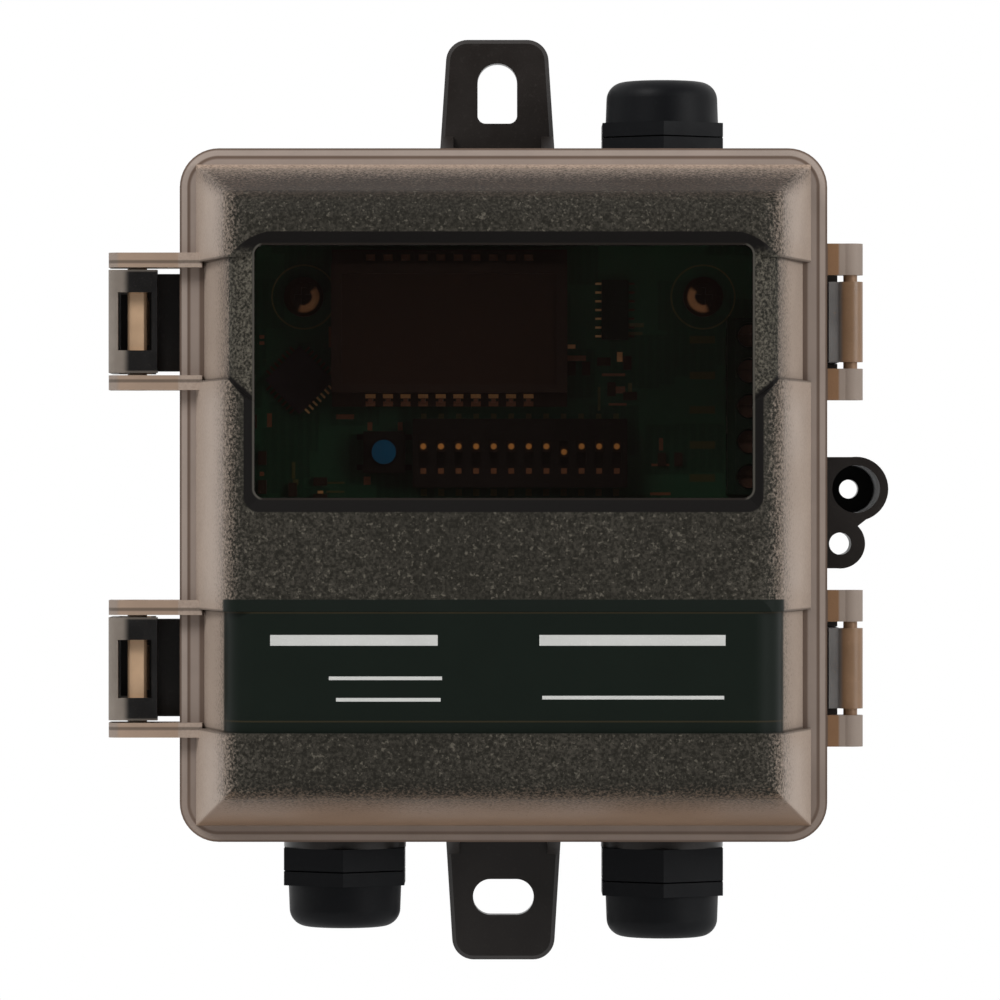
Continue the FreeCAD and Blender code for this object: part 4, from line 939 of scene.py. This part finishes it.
    def hairline(self, at: Spot) -> Wire:
        """Mask of the thin lines where a band's edges cross the side slopes.

        Args:
            at: Point on the cover.

        Returns:
            The mask.
        """
        off_band = abs(abs(at.z) - self.band_centre)
        line = at.graph.near(off_band, self.band_half, 0.12 * MM, 0.34 * MM)
        beyond = at.graph.fade(at.x, self.face_half_width - 1.0 * MM, self.face_half_width)
        return line * at.raised * beyond

    def window(self, at: Spot) -> Wire:
        """Mask of the sight window's recess; its half width is a function of the height.

        Args:
            at: Point on the cover.

        Returns:
            The mask.
        """
        shoulder = at.graph.ramp(at.z, *self.shoulder, 0.0, self.shoulder_reach)
        crown = at.graph.ramp(at.z, self.crown_low, self.window_top, 0.0, -self.crown_draft)
        edge = at.surface.rounded(at.x, at.z - (self.window_top + self.window_low) / 2,
                                  shoulder + crown + self.window_half_width,
                                  (self.window_top - self.window_low) / 2,
                                  self.window_corner)
        return at.graph.step(edge, 0.0, 0.1 * MM, down=True)

    def recess(self, at: Spot) -> Wire:
        """Colour of the window's recess: black, with frosted wings beside the pane that carry painted
        glints.

        Args:
            at: Point on the cover.

        Returns:
            The colour.
        """
        graph = at.graph
        above = at.z - (at.x - self.window_half_width) * 0.85
        wing = (graph.fade(at.x, 34.9 * MM, 35.3 * MM)
                * (graph.fade(above, 14.7 * MM, 15.3 * MM)
                   * graph.fade(at.z, 33.0 * MM, 35.0 * MM, 1.0, 0.0)))
        # painted highlight: glints on the frosted wings
        frost = graph.blend(at.grain * 0.72, self.face_dark, self.face_glint_point)
        return graph.blend(wing, self.recess_dark, frost)

    def label(self, at: Spot) -> Wire:
        """Mask of the label field.

        Args:
            at: Point on the cover.

        Returns:
            The mask.
        """
        low = at.graph.step(at.z, self.label_low, 0.1 * MM)
        top = at.graph.step(at.z, self.label_top, 0.1 * MM, down=True)
        side = at.graph.step(at.x, self.label_half_width, 0.2 * MM, down=True)
        return low * top * side * at.raised

    def wire(self, surface: Surface, graph: Graph) -> None:
        """Wire the shader: moulding, frosted face, recess, pane, label and a painted highlight along
        the pane's edge.

        Args:
            surface: Material in the making.
            graph: Its graph.
        """
        across, y, z = graph.split(surface.place)
        x, depth = abs(across), y * -1.0
        fine = graph.noise(surface.place, 2500.0, 3.0, 0.65)
        at = Spot(surface, graph, across, x, z,
                  graph.fade(depth, self.flange_front, self.flange_front + 0.3 * MM),
                  fine, graph.fade(fine, 0.36, 0.7))
        dark = self.darkness(at)
        skin = graph.blend(dark, self.moulding(at), self.frosting(at))
        skin = graph.blend(self.hairline(at) * 0.6, skin, self.band_line)

        on_face = graph.fade(depth, self.shell_depth - 0.9 * MM, self.shell_depth - 0.4 * MM)
        colour = graph.blend(self.window(at) * on_face, skin, self.recess(at))
        outline = surface.rounded(x, z - (self.pane_top + self.pane_low) / 2,
                                  self.pane_half_width, (self.pane_top - self.pane_low) / 2,
                                  self.pane_corner)
        pane = graph.step(outline, 0.0, 0.05 * MM, down=True) * on_face
        colour = graph.blend(pane, colour, self.pane_dark)
        label = self.label(at)
        edging = graph.near(abs(z - self.label_middle), self.label_line, 0.06 * MM, 0.16 * MM)
        field_colour = graph.blend(edging, self.label_dark, self.label_brown)
        colour = graph.blend(label, colour, field_colour)
        # painted highlight along the pane's edge, paler at its sides
        line = graph.band(outline, self.pane_edge_highlight) * on_face
        pale = graph.blend(graph.fade(x, 33.6 * MM, 34.3 * MM), self.edge_highlight_dim, self.edge_highlight_pale)
        tone, _ = surface.effect("mottle", Color=graph.blend(line, colour, pale),
                                 Scale=160.0, Amount=0.12)

        polished = graph.math("MAXIMUM", pane, label)
        rough = graph.out("Mix", {0: polished, 2: graph.ramp(dark, 0.0, 1.0, 0.42, 0.62),
                                  3: graph.ramp(pane, 0.0, 1.0, 0.48, 0.07)},
                          data_type="FLOAT")
        surface.shade(colour=tone, roughness=rough, specular=0.09,
                      alpha=graph.ramp(pane, 0.0, 1.0, 1.0, self.pane_alpha))
        surface.bump(fine * (1.0 - polished), 0.22, 0.1 * MM)


# ---------------------------------------------------------------- mesh makers


def grid_faces(rows: int, columns: int) -> Points:
    """Quads of one grid whose columns wrap round and whose rows do not.

    Corner (i, j) is vertex i * columns + j; each quad joins it to its next row and column.

    Args:
        rows: Number of rings.
        columns: Corners of a ring.

    Returns:
        Vertex indices, one row per quad.
    """
    i, j = np.meshgrid(np.arange(rows - 1), np.arange(columns), indexing="ij")
    k = (j + 1) % columns
    quads = np.stack([i * columns + j, i * columns + k, (i + 1) * columns + k,
                      (i + 1) * columns + j], axis=-1)
    return quads.reshape(-1, 4)


def mesh_object(name: str, points: Points, quads: Points, smooth: bool = False) -> Any:
    """Mesh object in its final place.

    Args:
        name: Object name.
        points: Vertex places, one row each.
        quads: Vertex indices, one row per face.
        smooth: Whether its faces are shaded smooth.

    Returns:
        The linked object.
    """
    mesh = bpy.data.meshes.new(name)
    count = len(quads)
    mesh.vertices.add(len(points))
    mesh.vertices.foreach_set("co", np.ascontiguousarray(points, np.float32).ravel())
    mesh.loops.add(count * 4)
    mesh.loops.foreach_set("vertex_index", np.ascontiguousarray(quads, np.int32).ravel())
    mesh.polygons.add(count)
    mesh.polygons.foreach_set("loop_start", np.arange(count, dtype=np.int32) * 4)
    mesh.polygons.foreach_set("use_smooth", np.full(count, smooth))
    mesh.update(calc_edges=True)
    mesh.validate()
    thing = bpy.data.objects.new(name, mesh)
    bpy.context.scene.collection.objects.link(thing)
    return thing


def rounded_outline(half_width: float, half_height: float, radius: float,
                    steps: int = 6) -> Points:
    """Outline of a rounded rectangle about zero, anticlockwise seen from the front.

    Each quarter turn is a circle arc about its corner's centre; the sides join the arcs.

    Args:
        half_width: Half the width.
        half_height: Half the height.
        radius: Corner radius.
        steps: Points of one corner.

    Returns:
        Points, as x and z.
    """
    turn = np.linspace(0.0, math.pi / 2, steps)
    quarter = np.arange(4)[:, None] * math.pi / 2
    angle = (turn[None, :] + quarter).ravel()
    side = np.sign(np.cos(quarter + math.pi / 4)), np.sign(np.sin(quarter + math.pi / 4))
    centre_x = np.repeat(side[0] * (half_width - radius), steps)
    centre_z = np.repeat(side[1] * (half_height - radius), steps)
    return np.stack([centre_x + radius * np.cos(angle), centre_z + radius * np.sin(angle)], 1)


def repeated(quads: Points, copies: int, stride: int) -> Points:
    """The same quads once per copy, with vertex numbers moved on by the stride."""
    return (quads[None] + (np.arange(copies) * stride)[:, None, None]).reshape(-1, 4)


def bars(ends: Points, width: float | Points,
         depth: tuple[float, float]) -> Pieces:
    """Straight bars between pairs of points on a depth plane.

    A bar's corners are its ends pushed along it and across it by half its width.

    Args:
        ends: Rows of x0, z0, x1, z1.
        width: Bar width, the same for all or one each.
        depth: Back and front distance before the wall.

    Returns:
        Vertices and quads of all the bars.
    """
    start, stop = ends[:, None, :2], ends[:, None, 2:]
    along = stop - start
    along = along / np.maximum(np.linalg.norm(along, axis=2, keepdims=True), 1e-9)
    across = np.stack([-along[..., 1], along[..., 0]], -1)
    half = np.reshape(width, (-1, 1, 1)) / 2
    ring = np.concatenate([start - (along + across) * half, stop + (along - across) * half,
                           stop + (along + across) * half, start - (along - across) * half], 1)
    middle = ring.mean(axis=1, keepdims=True)
    flat = middle + (ring - middle) * 1e-4
    rings = np.stack([flat, ring, ring, flat], 1)
    levels = np.array([depth[0], depth[0], depth[1], depth[1]])
    y = np.broadcast_to(-levels[None, :, None], rings.shape[:3])
    points = np.stack([rings[..., 0], y, rings[..., 1]], -1).reshape(-1, 3)
    return points, repeated(grid_faces(4, 4), len(ends), 16)


def patches(rows: Points, depth: tuple[float, float]) -> Pieces:
    """Flat rectangles from their centres and sizes.

    Args:
        rows: Rows of centre x, centre z, width and height in millimetres.
        depth: Back and front distance before the wall.

    Returns:
        Vertices and quads of all the rectangles.
    """
    x, z, wide, high = (np.asarray(rows, float) * MM).T
    reach = np.maximum((np.maximum(wide, high) - np.minimum(wide, high)) / 2, 0.01 * MM)
    flat = wide >= high
    dx, dz = np.where(flat, reach, 0.0), np.where(flat, 0.0, reach)
    ends = np.stack([x - dx, z - dz, x + dx, z + dz], 1)
    return bars(ends, np.minimum(wide, high), depth)


def turned(profile: Points, centres: Points, steps: int = 24) -> Pieces:
    """Turned shapes about axes that run along Y.

    The profile's radius is swung round the axis; its second value is the depth.

    Args:
        profile: Rows of radius and depth, from the back to the front.
        centres: Axis places, as x and z.
        steps: Corners of the circle.

    Returns:
        Vertices and quads of all the shapes.
    """
    angle = np.arange(steps) * 2 * math.pi / steps
    radius = profile[None, :, None, 0]
    x = centres[:, None, None, 0] + radius * np.cos(angle)
    z = centres[:, None, None, 1] + radius * np.sin(angle)
    y = np.broadcast_to(-profile[None, :, None, 1], x.shape)
    points = np.stack([x, y, z], -1).reshape(-1, 3)
    rows = len(profile)
    return points, repeated(grid_faces(rows, steps), len(centres), rows * steps)


def solid(name: str, made: Pieces, body: str,
          material: bpy.types.Material) -> Any:
    """Finished piece: a mesh that rides on a body and takes a material.

    Args:
        name: Object name.
        made: Vertices and quads.
        body: Body it moves with.
        material: Finish.

    Returns:
        The object.
    """
    thing = mesh_object(name, *made)
    thing.data.materials.append(material)
    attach(thing, body)
    return thing


def joined(*parts: Pieces) -> Pieces:
    """Several vertex and quad arrays as one, with vertex numbers moved on."""
    starts = np.cumsum([0] + [len(points) for points, _ in parts[:-1]])
    quads = [quads + start for (_, quads), start in zip(parts, starts)]
    return np.concatenate([points for points, _ in parts]), np.concatenate(quads)


# ---------------------------------------------------------------- sub-assemblies


@dataclass
class SubAssembly:
    """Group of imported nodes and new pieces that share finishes."""

    frame: dict[str, Any]
    effects: Effects
    made: list[str] = field(default_factory=list)

    def node(self, name: str) -> Any:
        """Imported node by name."""
        return self.frame["nodes"][name]

    def names(self, *starts: str) -> list[str]:
        """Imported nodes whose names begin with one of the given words."""
        return sorted(name for name in self.frame["nodes"] if name.startswith(starts))

    def paint(self, finish: Any, *names: str) -> None:
        """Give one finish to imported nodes."""
        material = finish.build(self.effects)
        for name in names:
            slots = self.node(name).data.materials
            slots.clear()
            slots.append(material)
            self.made.append(name)

    def add(self, name: str, made: Pieces, body: str, slot: str,
            material: bpy.types.Material) -> None:
        """Add one new piece."""
        solid(name, made, body, material)
        self.made.append(name)

    def build(self) -> None:
        """Make the new pieces."""

    def dress(self) -> None:
        """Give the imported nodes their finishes."""

    def report(self) -> None:
        """Log what was made."""
        LOG.info("%s: %s", type(self).__name__, ", ".join(self.made))


@dataclass
class Housing(SubAssembly):
    """Dark moulded box with its wall tabs, catches, lug, gasket and gland hubs."""

    colour: Colour = (0.0125, 0.009, 0.0072)

    def dress(self) -> None:
        """Dark brown-black plastic and a black gasket."""
        self.paint(Moulded("dark_housing_plastic", self.colour, roughness=0.36,
                           grain_size=0.5 * MM, sparkle=0.3, tone=0.25, specular=0.38),
                   "base_housing")
        self.paint(Moulded("gasket_foam", (0.012, 0.012, 0.012), roughness=0.8,
                           grain_size=0.3 * MM, grain_depth=0.3), "cover_gasket")


@dataclass
class Cover(SubAssembly):
    """Smoked cover with its print field; the field carries plain bars and no words."""

    floor_depth: float = 54.3 * MM
    ink: float = 0.05 * MM
    heading_bars: tuple[Bar, ...] = ((-32.6, -9.2, -20.3), (5.0, 31.0, -20.3))
    small_bars: tuple[Bar, ...] = (
        (-24.4, -8.6, -25.6), (-23.4, -8.8, -28.6), (5.4, 30.8, -28.3))
    heading_width: float = 1.5 * MM
    small_width: float = 0.5 * MM

    def printed(self, rows: tuple[Bar, ...], width: float) -> Pieces:
        """Bars of one width on the field's floor.

        Args:
            rows: Left end, right end and height of each bar in millimetres.
            width: Bar width; a bar's ends are drawn in by half of it.

        Returns:
            Vertices and quads.
        """
        left, right, height = (np.array(rows) * MM).T
        ends = np.stack([left + width / 2, height, right - width / 2, height], 1)
        return bars(ends, width, (self.floor_depth + LIFT, self.floor_depth + self.ink))

    def build(self) -> None:
        """Plain printed bars in the label field."""
        ink = Moulded("printed_bars", (0.42, 0.42, 0.4), roughness=0.5, grain_size=0.2 * MM,
                      sparkle=0.1, tone=0.1)
        marks = joined(self.printed(self.heading_bars, self.heading_width),
                       self.printed(self.small_bars, self.small_width))
        self.add("label_bars", marks, "cover", "smoked_plastic", ink.build(self.effects))

    def dress(self) -> None:
        """Cover skin with its window, frosted face and slopes painted tan as lit through."""
        self.paint(CoverSkin("smoked_cover"), "cover")


@dataclass
class SideFittings(SubAssembly):
    """Latches on the left and hinges on the right, in the cover's smoked plastic."""

    arm_web: Colour = (0.155, 0.145, 0.138)
    arm_barrel: Colour = (0.19, 0.108, 0.056)

    def dress(self) -> None:
        """Smoked levers and arms, and brownish hinge pins."""
        self.paint(LatchSkin("smoked_latch"), "latch_upper", "latch_lower")
        self.paint(Smoked("smoked_hinge", self.arm_barrel, self.arm_web, 48.4 * MM,
                          0.3 * MM, alpha=0.94), "hinge_arm_upper", "hinge_arm_lower")
        self.paint(Metal("hinge_pin_steel", (0.24, 0.14, 0.075), (0.13, 0.07, 0.035),
                         roughness=0.5, grain=Grain.ALONG_Z, metallic=0.25),
                   "hinge_pin_upper", "hinge_pin_lower")


@dataclass
class CableGlands(SubAssembly):
    """Three black cable glands with domed nuts and rubber seals."""

    def dress(self) -> None:
        """Bluish black nylon and matt rubber."""
        parts = self.names("gland_")
        seals = [name for name in parts if name.endswith("_seal")]
        self.paint(Moulded("gland_nylon", (0.003, 0.0033, 0.0042), roughness=0.5,
                           grain_size=0.6 * MM, sparkle=0.1, tone=0.2, specular=0.12),
                   *(name for name in parts if name not in seals))
        self.paint(Moulded("seal_rubber", (0.01, 0.01, 0.01), roughness=0.75,
                           grain_size=0.4 * MM, grain_depth=0.15), *seals)


@dataclass
class Circuit(SubAssembly):
    """Circuit board with display, switches, chips, terminals, solder and plain print."""

    board_face: float = 20.0 * MM
    plate_face: float = 24.5 * MM
    switch_face: float = 25.0 * MM
    skin: float = 0.05 * MM
    clear: float = 0.005 * MM
    pin_feet: Bar = (14.3, 1.45, 0.6)
    pin_roots: Bar = (13.2, 1.4, 0.7)
    pin_tops: Bar = (34.35, 1.3, 0.9)
    way_marks: Bar = (3.5, 0.8, 0.8)
    upper_pads: Bar = (11.3, 0.8, 1.1)
    lower_pads: Bar = (0.4, 0.9, 1.0)
    track_width: float = 0.2 * MM
    track_count: int = 6
    track_left: float = -34.0 * MM
    track_top: float = -8.0 * MM
    track_gap: float = 1.3 * MM
    track_bend: float = -24.0 * MM
    track_spread: float = 6.0 * MM
    track_step: float = 2.0 * MM
    track_low: float = -34.0 * MM
    print_width: float = 1.1 * MM
    print_left: float = 27.6 * MM
    print_length: float = 2.6 * MM
    print_heights: tuple[float, ...] = (22.6, 17.4, 12.4, 7.3, 2.5, -7.7, -12.8, -17.9, -23.0)
    hole_x: float = 29.0 * MM
    hole_z: float = 28.8 * MM
    ring_outer: float = 4.75 * MM
    ring_inner: float = 4.5 * MM
    pin_pitch: float = 2.54 * MM
    pin_count: int = 10
    display_x: float = -7.8 * MM
    switch_x: float = 2.4 * MM
    switch_z: float = 6.1 * MM
    slider_rest: float = 0.95 * MM
    slider_nudge: float = 0.8 * MM
    way_count: int = 12
    # pads given the painted solder highlight
    glint_pads: tuple[Patch, ...] = (
        (9.9, 21.6, 1.1, 0.6), (16.9, 20.1, 0.8, 1.4), (-35.1, 4.7, 0.6, 0.6),
        (-35.1, 0.9, 0.6, 0.6), (-26.6, 1.8, 0.8, 0.5), (-26.6, 0.45, 0.8, 0.4),
        (-12.7, 4.8, 0.7, 0.7), (15.4, 29.9, 0.8, 0.5), (9.4, 1.3, 0.3, 0.3))
    dim_pads: tuple[Patch, ...] = (
        (15.3, 24.2, 1.7, 1.6), (16.0, 17.5, 3.4, 0.4), (16.6, 13.2, 2.6, 0.35),
        (16.5, 15.3, 2.4, 1.0), (10.4, 19.9, 3.2, 0.8), (22.8, 4.4, 2.6, 0.35),
        (22.8, 0.2, 3.0, 0.4), (22.9, 7.4, 0.6, 1.8), (-35.1, 23.0, 0.7, 0.5),
        (-35.1, 22.1, 0.7, 0.5), (-34.0, 10.9, 0.7, 2.0), (-23.0, 11.4, 2.6, 0.7),
        (-19.4, 10.0, 0.7, 1.2), (-15.0, 10.0, 0.7, 1.2), (-19.8, 2.1, 1.0, 1.2),
        (-35.1, 3.1, 0.6, 0.6), (-25.2, 23.0, 0.4, 3.0), (-20.4, 14.4, 3.2, 0.7))
    olive_pads: tuple[Patch, ...] = (
        (18.7, 24.7, 3.4, 0.6), (18.7, 23.5, 3.0, 0.5), (-30.5, 3.6, 0.5, 2.4),
        (-30.2, 1.9, 0.8, 0.8), (13.9, 14.0, 0.4, 3.4), (18.4, 15.6, 0.6, 1.4),
        (9.0, 33.0, 0.3, 1.6), (-24.4, 1.8, 2.6, 0.3), (-24.4, 0.5, 2.6, 0.3))

    def corner_spots(self) -> Points:
        """Centres of the four board screws."""
        signs = np.array([[1, 1], [-1, 1], [-1, -1], [1, -1]], float)
        return signs * np.array([self.hole_x, self.hole_z])

    def row(self, middle: float, count: int, patch: Bar) -> Points:
        """Equal patches on one row, a pin pitch apart.

        Args:
            middle: Middle of the row.
            count: Number of patches.
            patch: Place up, width and height of a patch in millimetres.

        Returns:
            Rows of centre x, centre z, width and height in millimetres.
        """
        x = (middle + (np.arange(count) - (count - 1) / 2) * self.pin_pitch) / MM
        return np.concatenate([x[:, None], np.broadcast_to(patch, (count, 3))], 1)

    def layer(self, face: float, thickness: float) -> tuple[float, float]:
        """Back and front depth of a thin skin just clear of a face."""
        return face + self.clear, face + thickness

    def build(self) -> None:
        """Solder, pads, tracks and plain print."""
        board = self.layer(self.board_face, self.skin)
        plate = self.layer(self.plate_face, self.skin)
        switch = (self.switch_face + LIFT, self.switch_face + self.skin)
        pins = (self.display_x, self.pin_count)
        ways = (self.switch_x, self.way_count)
        olive = self.solder("masked_copper", (0.11, 0.105, 0.02))

        # painted highlight: a lit copy of the solder, on the pin feet and the listed pads
        self.add("solder_painted_glint", joined(
            patches(self.row(*pins, self.pin_feet), plate),
            patches(np.array(self.glint_pads), board)),
            "housing", "pin_gold", self.solder("solder_painted_glint", (1.0, 0.45, 0.15)))
        self.add("dim_solder", joined(
            patches(self.row(*pins, self.pin_roots), plate),
            patches(self.row(*pins, self.pin_tops), plate),
            patches(self.row(*ways, self.way_marks), switch),
            patches(np.array(self.dim_pads), board)),
            "housing", "pin_gold", self.solder("dim_solder", (0.26, 0.085, 0.026)))
        self.add("masked_copper", joined(
            patches(self.row(*ways, self.upper_pads), board),
            patches(self.row(*ways, self.lower_pads), board),
            patches(np.array(self.olive_pads), board),
            bars(self.track_ends(), self.track_width, board)),
            "housing", "board_laminate", olive)
        back, front = board
        ring = np.array([[self.ring_inner, back], [self.ring_outer, back],
                         [self.ring_outer, front], [self.ring_inner, front],
                         [self.ring_inner, back]])
        self.add("screw_rings", turned(ring, self.corner_spots(), 40), "housing",
                 "board_laminate", olive)
        ink = Moulded("board_print", (0.075, 0.075, 0.025), roughness=0.6,
                      grain_size=0.2 * MM, sparkle=0.1, tone=0.15, specular=0.1)
        self.add("board_print", bars(self.print_ends(), self.print_width,
                                     self.layer(self.board_face, 0.03 * MM)),
                 "housing", "board_laminate", ink.build(self.effects))

    def solder(self, name: str, colour: Colour) -> bpy.types.Material:
        """Half matt solder or copper of one colour."""
        return Metal(name, colour, tinted(colour, 0.6), roughness=0.4,
                     metallic=0.15).build(self.effects)

    def track_ends(self) -> Points:
        """Tracks low on the left: straight runs, each with a 45 degree step."""
        rows = np.arange(self.track_count)
        height = self.track_top - self.track_gap * rows
        bend = self.track_bend + self.track_spread * rows
        past, under = bend + self.track_step, height - self.track_step
        level = np.stack([np.full(len(rows), self.track_left), height, bend, height], 1)
        drop = np.stack([bend, height, past, under], 1)
        tail = np.stack([past, under, past, np.full(len(rows), self.track_low)], 1)
        return np.concatenate([level, drop, tail])

    def print_ends(self) -> Points:
        """Plain dashes beside the terminals."""
        heights = np.array(self.print_heights) * MM
        left = np.full(len(heights), self.print_left)
        return np.stack([left, heights, left + self.print_length, heights], 1)

    def dress(self) -> None:
        """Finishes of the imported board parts."""
        self.paint(Laminate("board_laminate"), "circuit_board")
        self.paint(ScrewHead("plated_screws", (self.hole_x, self.hole_z)), "board_screws")
        self.paint(Pane("display_pane"), "display_module")
        self.paint(Metal("plated_pins", (0.3, 0.1, 0.04), (0.18, 0.06, 0.025), roughness=0.4,
                         metallic=0.2), "display_pins")
        self.paint(Moulded("switch_plastic", (0.012, 0.007, 0.005), roughness=0.5,
                           specular=0.12), "dip_switch_body", "zero_switch_body")
        caps = self.names("dip_slider_")
        nudged = [name for name in caps if name.endswith("_09")]
        level = self.switch_z + self.slider_rest
        for name, height, group_names in (
                ("slider_plastic", level, [n for n in caps if n not in nudged]),
                ("slider_plastic_nudged", level - self.slider_nudge, nudged)):
            self.paint(SliderCap(name, height, self.switch_x), *group_names)
        self.paint(Moulded("button_plastic", (0.003, 0.1, 0.2), roughness=0.4,
                           grain_size=0.25 * MM, sparkle=0.15, specular=0.15), "zero_button")
        self.paint(Chip("controller_epoxy", (-29.6 * MM, 16.7 * MM), (3.5 * MM, 3.5 * MM),
                        turned=True, body=(0.032, 0.021, 0.024)), "microcontroller")
        self.paint(Chip("amplifier_epoxy", (16.2 * MM, 26.9 * MM), (1.95 * MM, 4.35 * MM),
                        body=(0.013, 0.018, 0.011)), "amplifier_ic")
        self.paint(Moulded("small_part_ceramic", (0.04, 0.022, 0.012), roughness=0.5,
                           grain_size=0.3 * MM, specular=0.12), "small_components")
        self.paint(Moulded("terminal_plastic", (0.006, 0.022, 0.012), roughness=0.5,
                           specular=0.12), "output_terminal_block", "sensor_terminal_block")
        self.paint(Metal("terminal_screws", (0.11, 0.045, 0.022), (0.05, 0.02, 0.01),
                         roughness=0.45, metallic=0.3),
                   "output_terminal_screws", "sensor_terminal_screws")


# ---------------------------------------------------------------- studio


@dataclass(frozen=True)
class Lamp:
    """Square area lamp that faces the origin."""

    name: str
    place: tuple[float, float, float]
    size: float
    power: float

    def build(self) -> None:
        """Put the lamp into the scene."""
        data = bpy.data.lights.new(self.name, "AREA")
        data.size = self.size
        data.energy = self.power
        thing = bpy.data.objects.new(self.name, data)
        thing.location = self.place
        x, y, z = self.place
        flat = math.hypot(x, y)
        thing.rotation_euler = (math.atan2(flat, z), 0.0, math.atan2(y, x) + math.pi / 2)
        bpy.context.scene.collection.objects.link(thing)


@dataclass(frozen=True)
class Studio:
    """Camera, soft lights, pale world and floor."""

    camera_place: tuple[float, float, float] = (-0.0005, -0.9, -0.0007)
    lens: float = 218.0
    lamps: tuple[Lamp, ...] = (Lamp("key_lamp", (-0.55, -0.75, 0.75), 0.5, 9.0),
                               Lamp("fill_lamp", (0.8, -0.6, 0.25), 0.6, 5.0),
                               Lamp("low_lamp", (0.1, -0.55, -0.8), 0.5, 4.0))
    floor_height: float = -0.14
    floor_half: float = 0.45
    floor_corner: float = 0.1
    floor_colours: tuple[Colour, Colour] = ((0.84, 0.84, 0.83), (0.9, 0.9, 0.9))
    white: Colour = (1.0, 1.0, 1.0)
    sky: Colour = (0.94, 0.95, 0.97)
    sky_strength: float = 0.55
    room_strength: float = 0.1

    def build(self, effects: Effects) -> None:
        """Make everything that is not part of the object.

        Args:
            effects: Shared node groups.
        """
        self.camera()
        for lamp in self.lamps:
            lamp.build()
        self.world()
        self.floor(effects)
        bpy.context.scene.view_settings.view_transform = "Standard"

    def camera(self) -> None:
        """Straight-on camera."""
        data = bpy.data.cameras.new("camera")
        data.lens = self.lens
        data.clip_start = 0.01
        thing = bpy.data.objects.new("camera", data)
        thing.location = self.camera_place
        thing.rotation_euler = (math.pi / 2, 0.0, 0.0)
        bpy.context.scene.collection.objects.link(thing)
        bpy.context.scene.camera = thing

    def world(self) -> None:
        """World that is white behind the object, also in mirrored and clear parts.

        Mirrored rays that leave toward the viewer, at -Y, meet a dim room instead.
        """
        world = bpy.data.worlds.new("pale_world")
        world.use_nodes = True
        world.node_tree.nodes.clear()
        graph = Graph(world.node_tree)
        rays = graph.add("LightPath", {})
        camera, glossy, through = (Wire(graph, rays.outputs[ray.value])
                                   for ray in (Ray.CAMERA, Ray.GLOSSY, Ray.TRANSMISSION))
        seen = graph.math("MAXIMUM", camera, through)
        toward = graph.split(graph.out("TexCoord", {}, "Generated"))[1]
        room = graph.fade(toward, -0.75, 0.1, self.room_strength, 1.0)
        white = graph.math("MAXIMUM", seen, glossy)
        colour = graph.blend(white, self.sky, self.white)
        plain = (1.0 - white) * self.sky_strength
        strength = graph.math("MAXIMUM", seen, glossy * room) + plain
        light = graph.out("Background", {"Color": colour, "Strength": strength})
        graph.add("OutputWorld", {"Surface": light})
        bpy.context.scene.world = world

    def floor(self, effects: Effects) -> None:
        """Pale floor below the object.

        Args:
            effects: Shared node groups.
        """
        outline = rounded_outline(self.floor_half, self.floor_half, self.floor_corner, 8)
        reach = np.stack([outline * 1e-4, outline])
        y, x = reach[..., 1], reach[..., 0]
        points = np.stack([x, y, np.full(x.shape, self.floor_height)], -1).reshape(-1, 3)
        quads = grid_faces(2, len(outline))[:, ::-1]
        thing = mesh_object("floor", points, quads)
        surface = Surface("pale_floor", effects)
        tone = surface.graph.noise(surface.place, 6.0, 3.0)
        surface.shade(colour=surface.graph.blend(tone, *self.floor_colours), roughness=0.8)
        thing.data.materials.append(surface.material)


def main() -> None:
    logging.basicConfig(level=logging.INFO, format="%(name)s: %(message)s")
    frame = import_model()
    effects = Effects()
    Studio().build(effects)
    for kind in (Housing, Cover, SideFittings, CableGlands, Circuit):
        part = kind(frame, effects)
        part.build()
        part.dress()
        part.report()


if __name__ == "__main__":
    main()
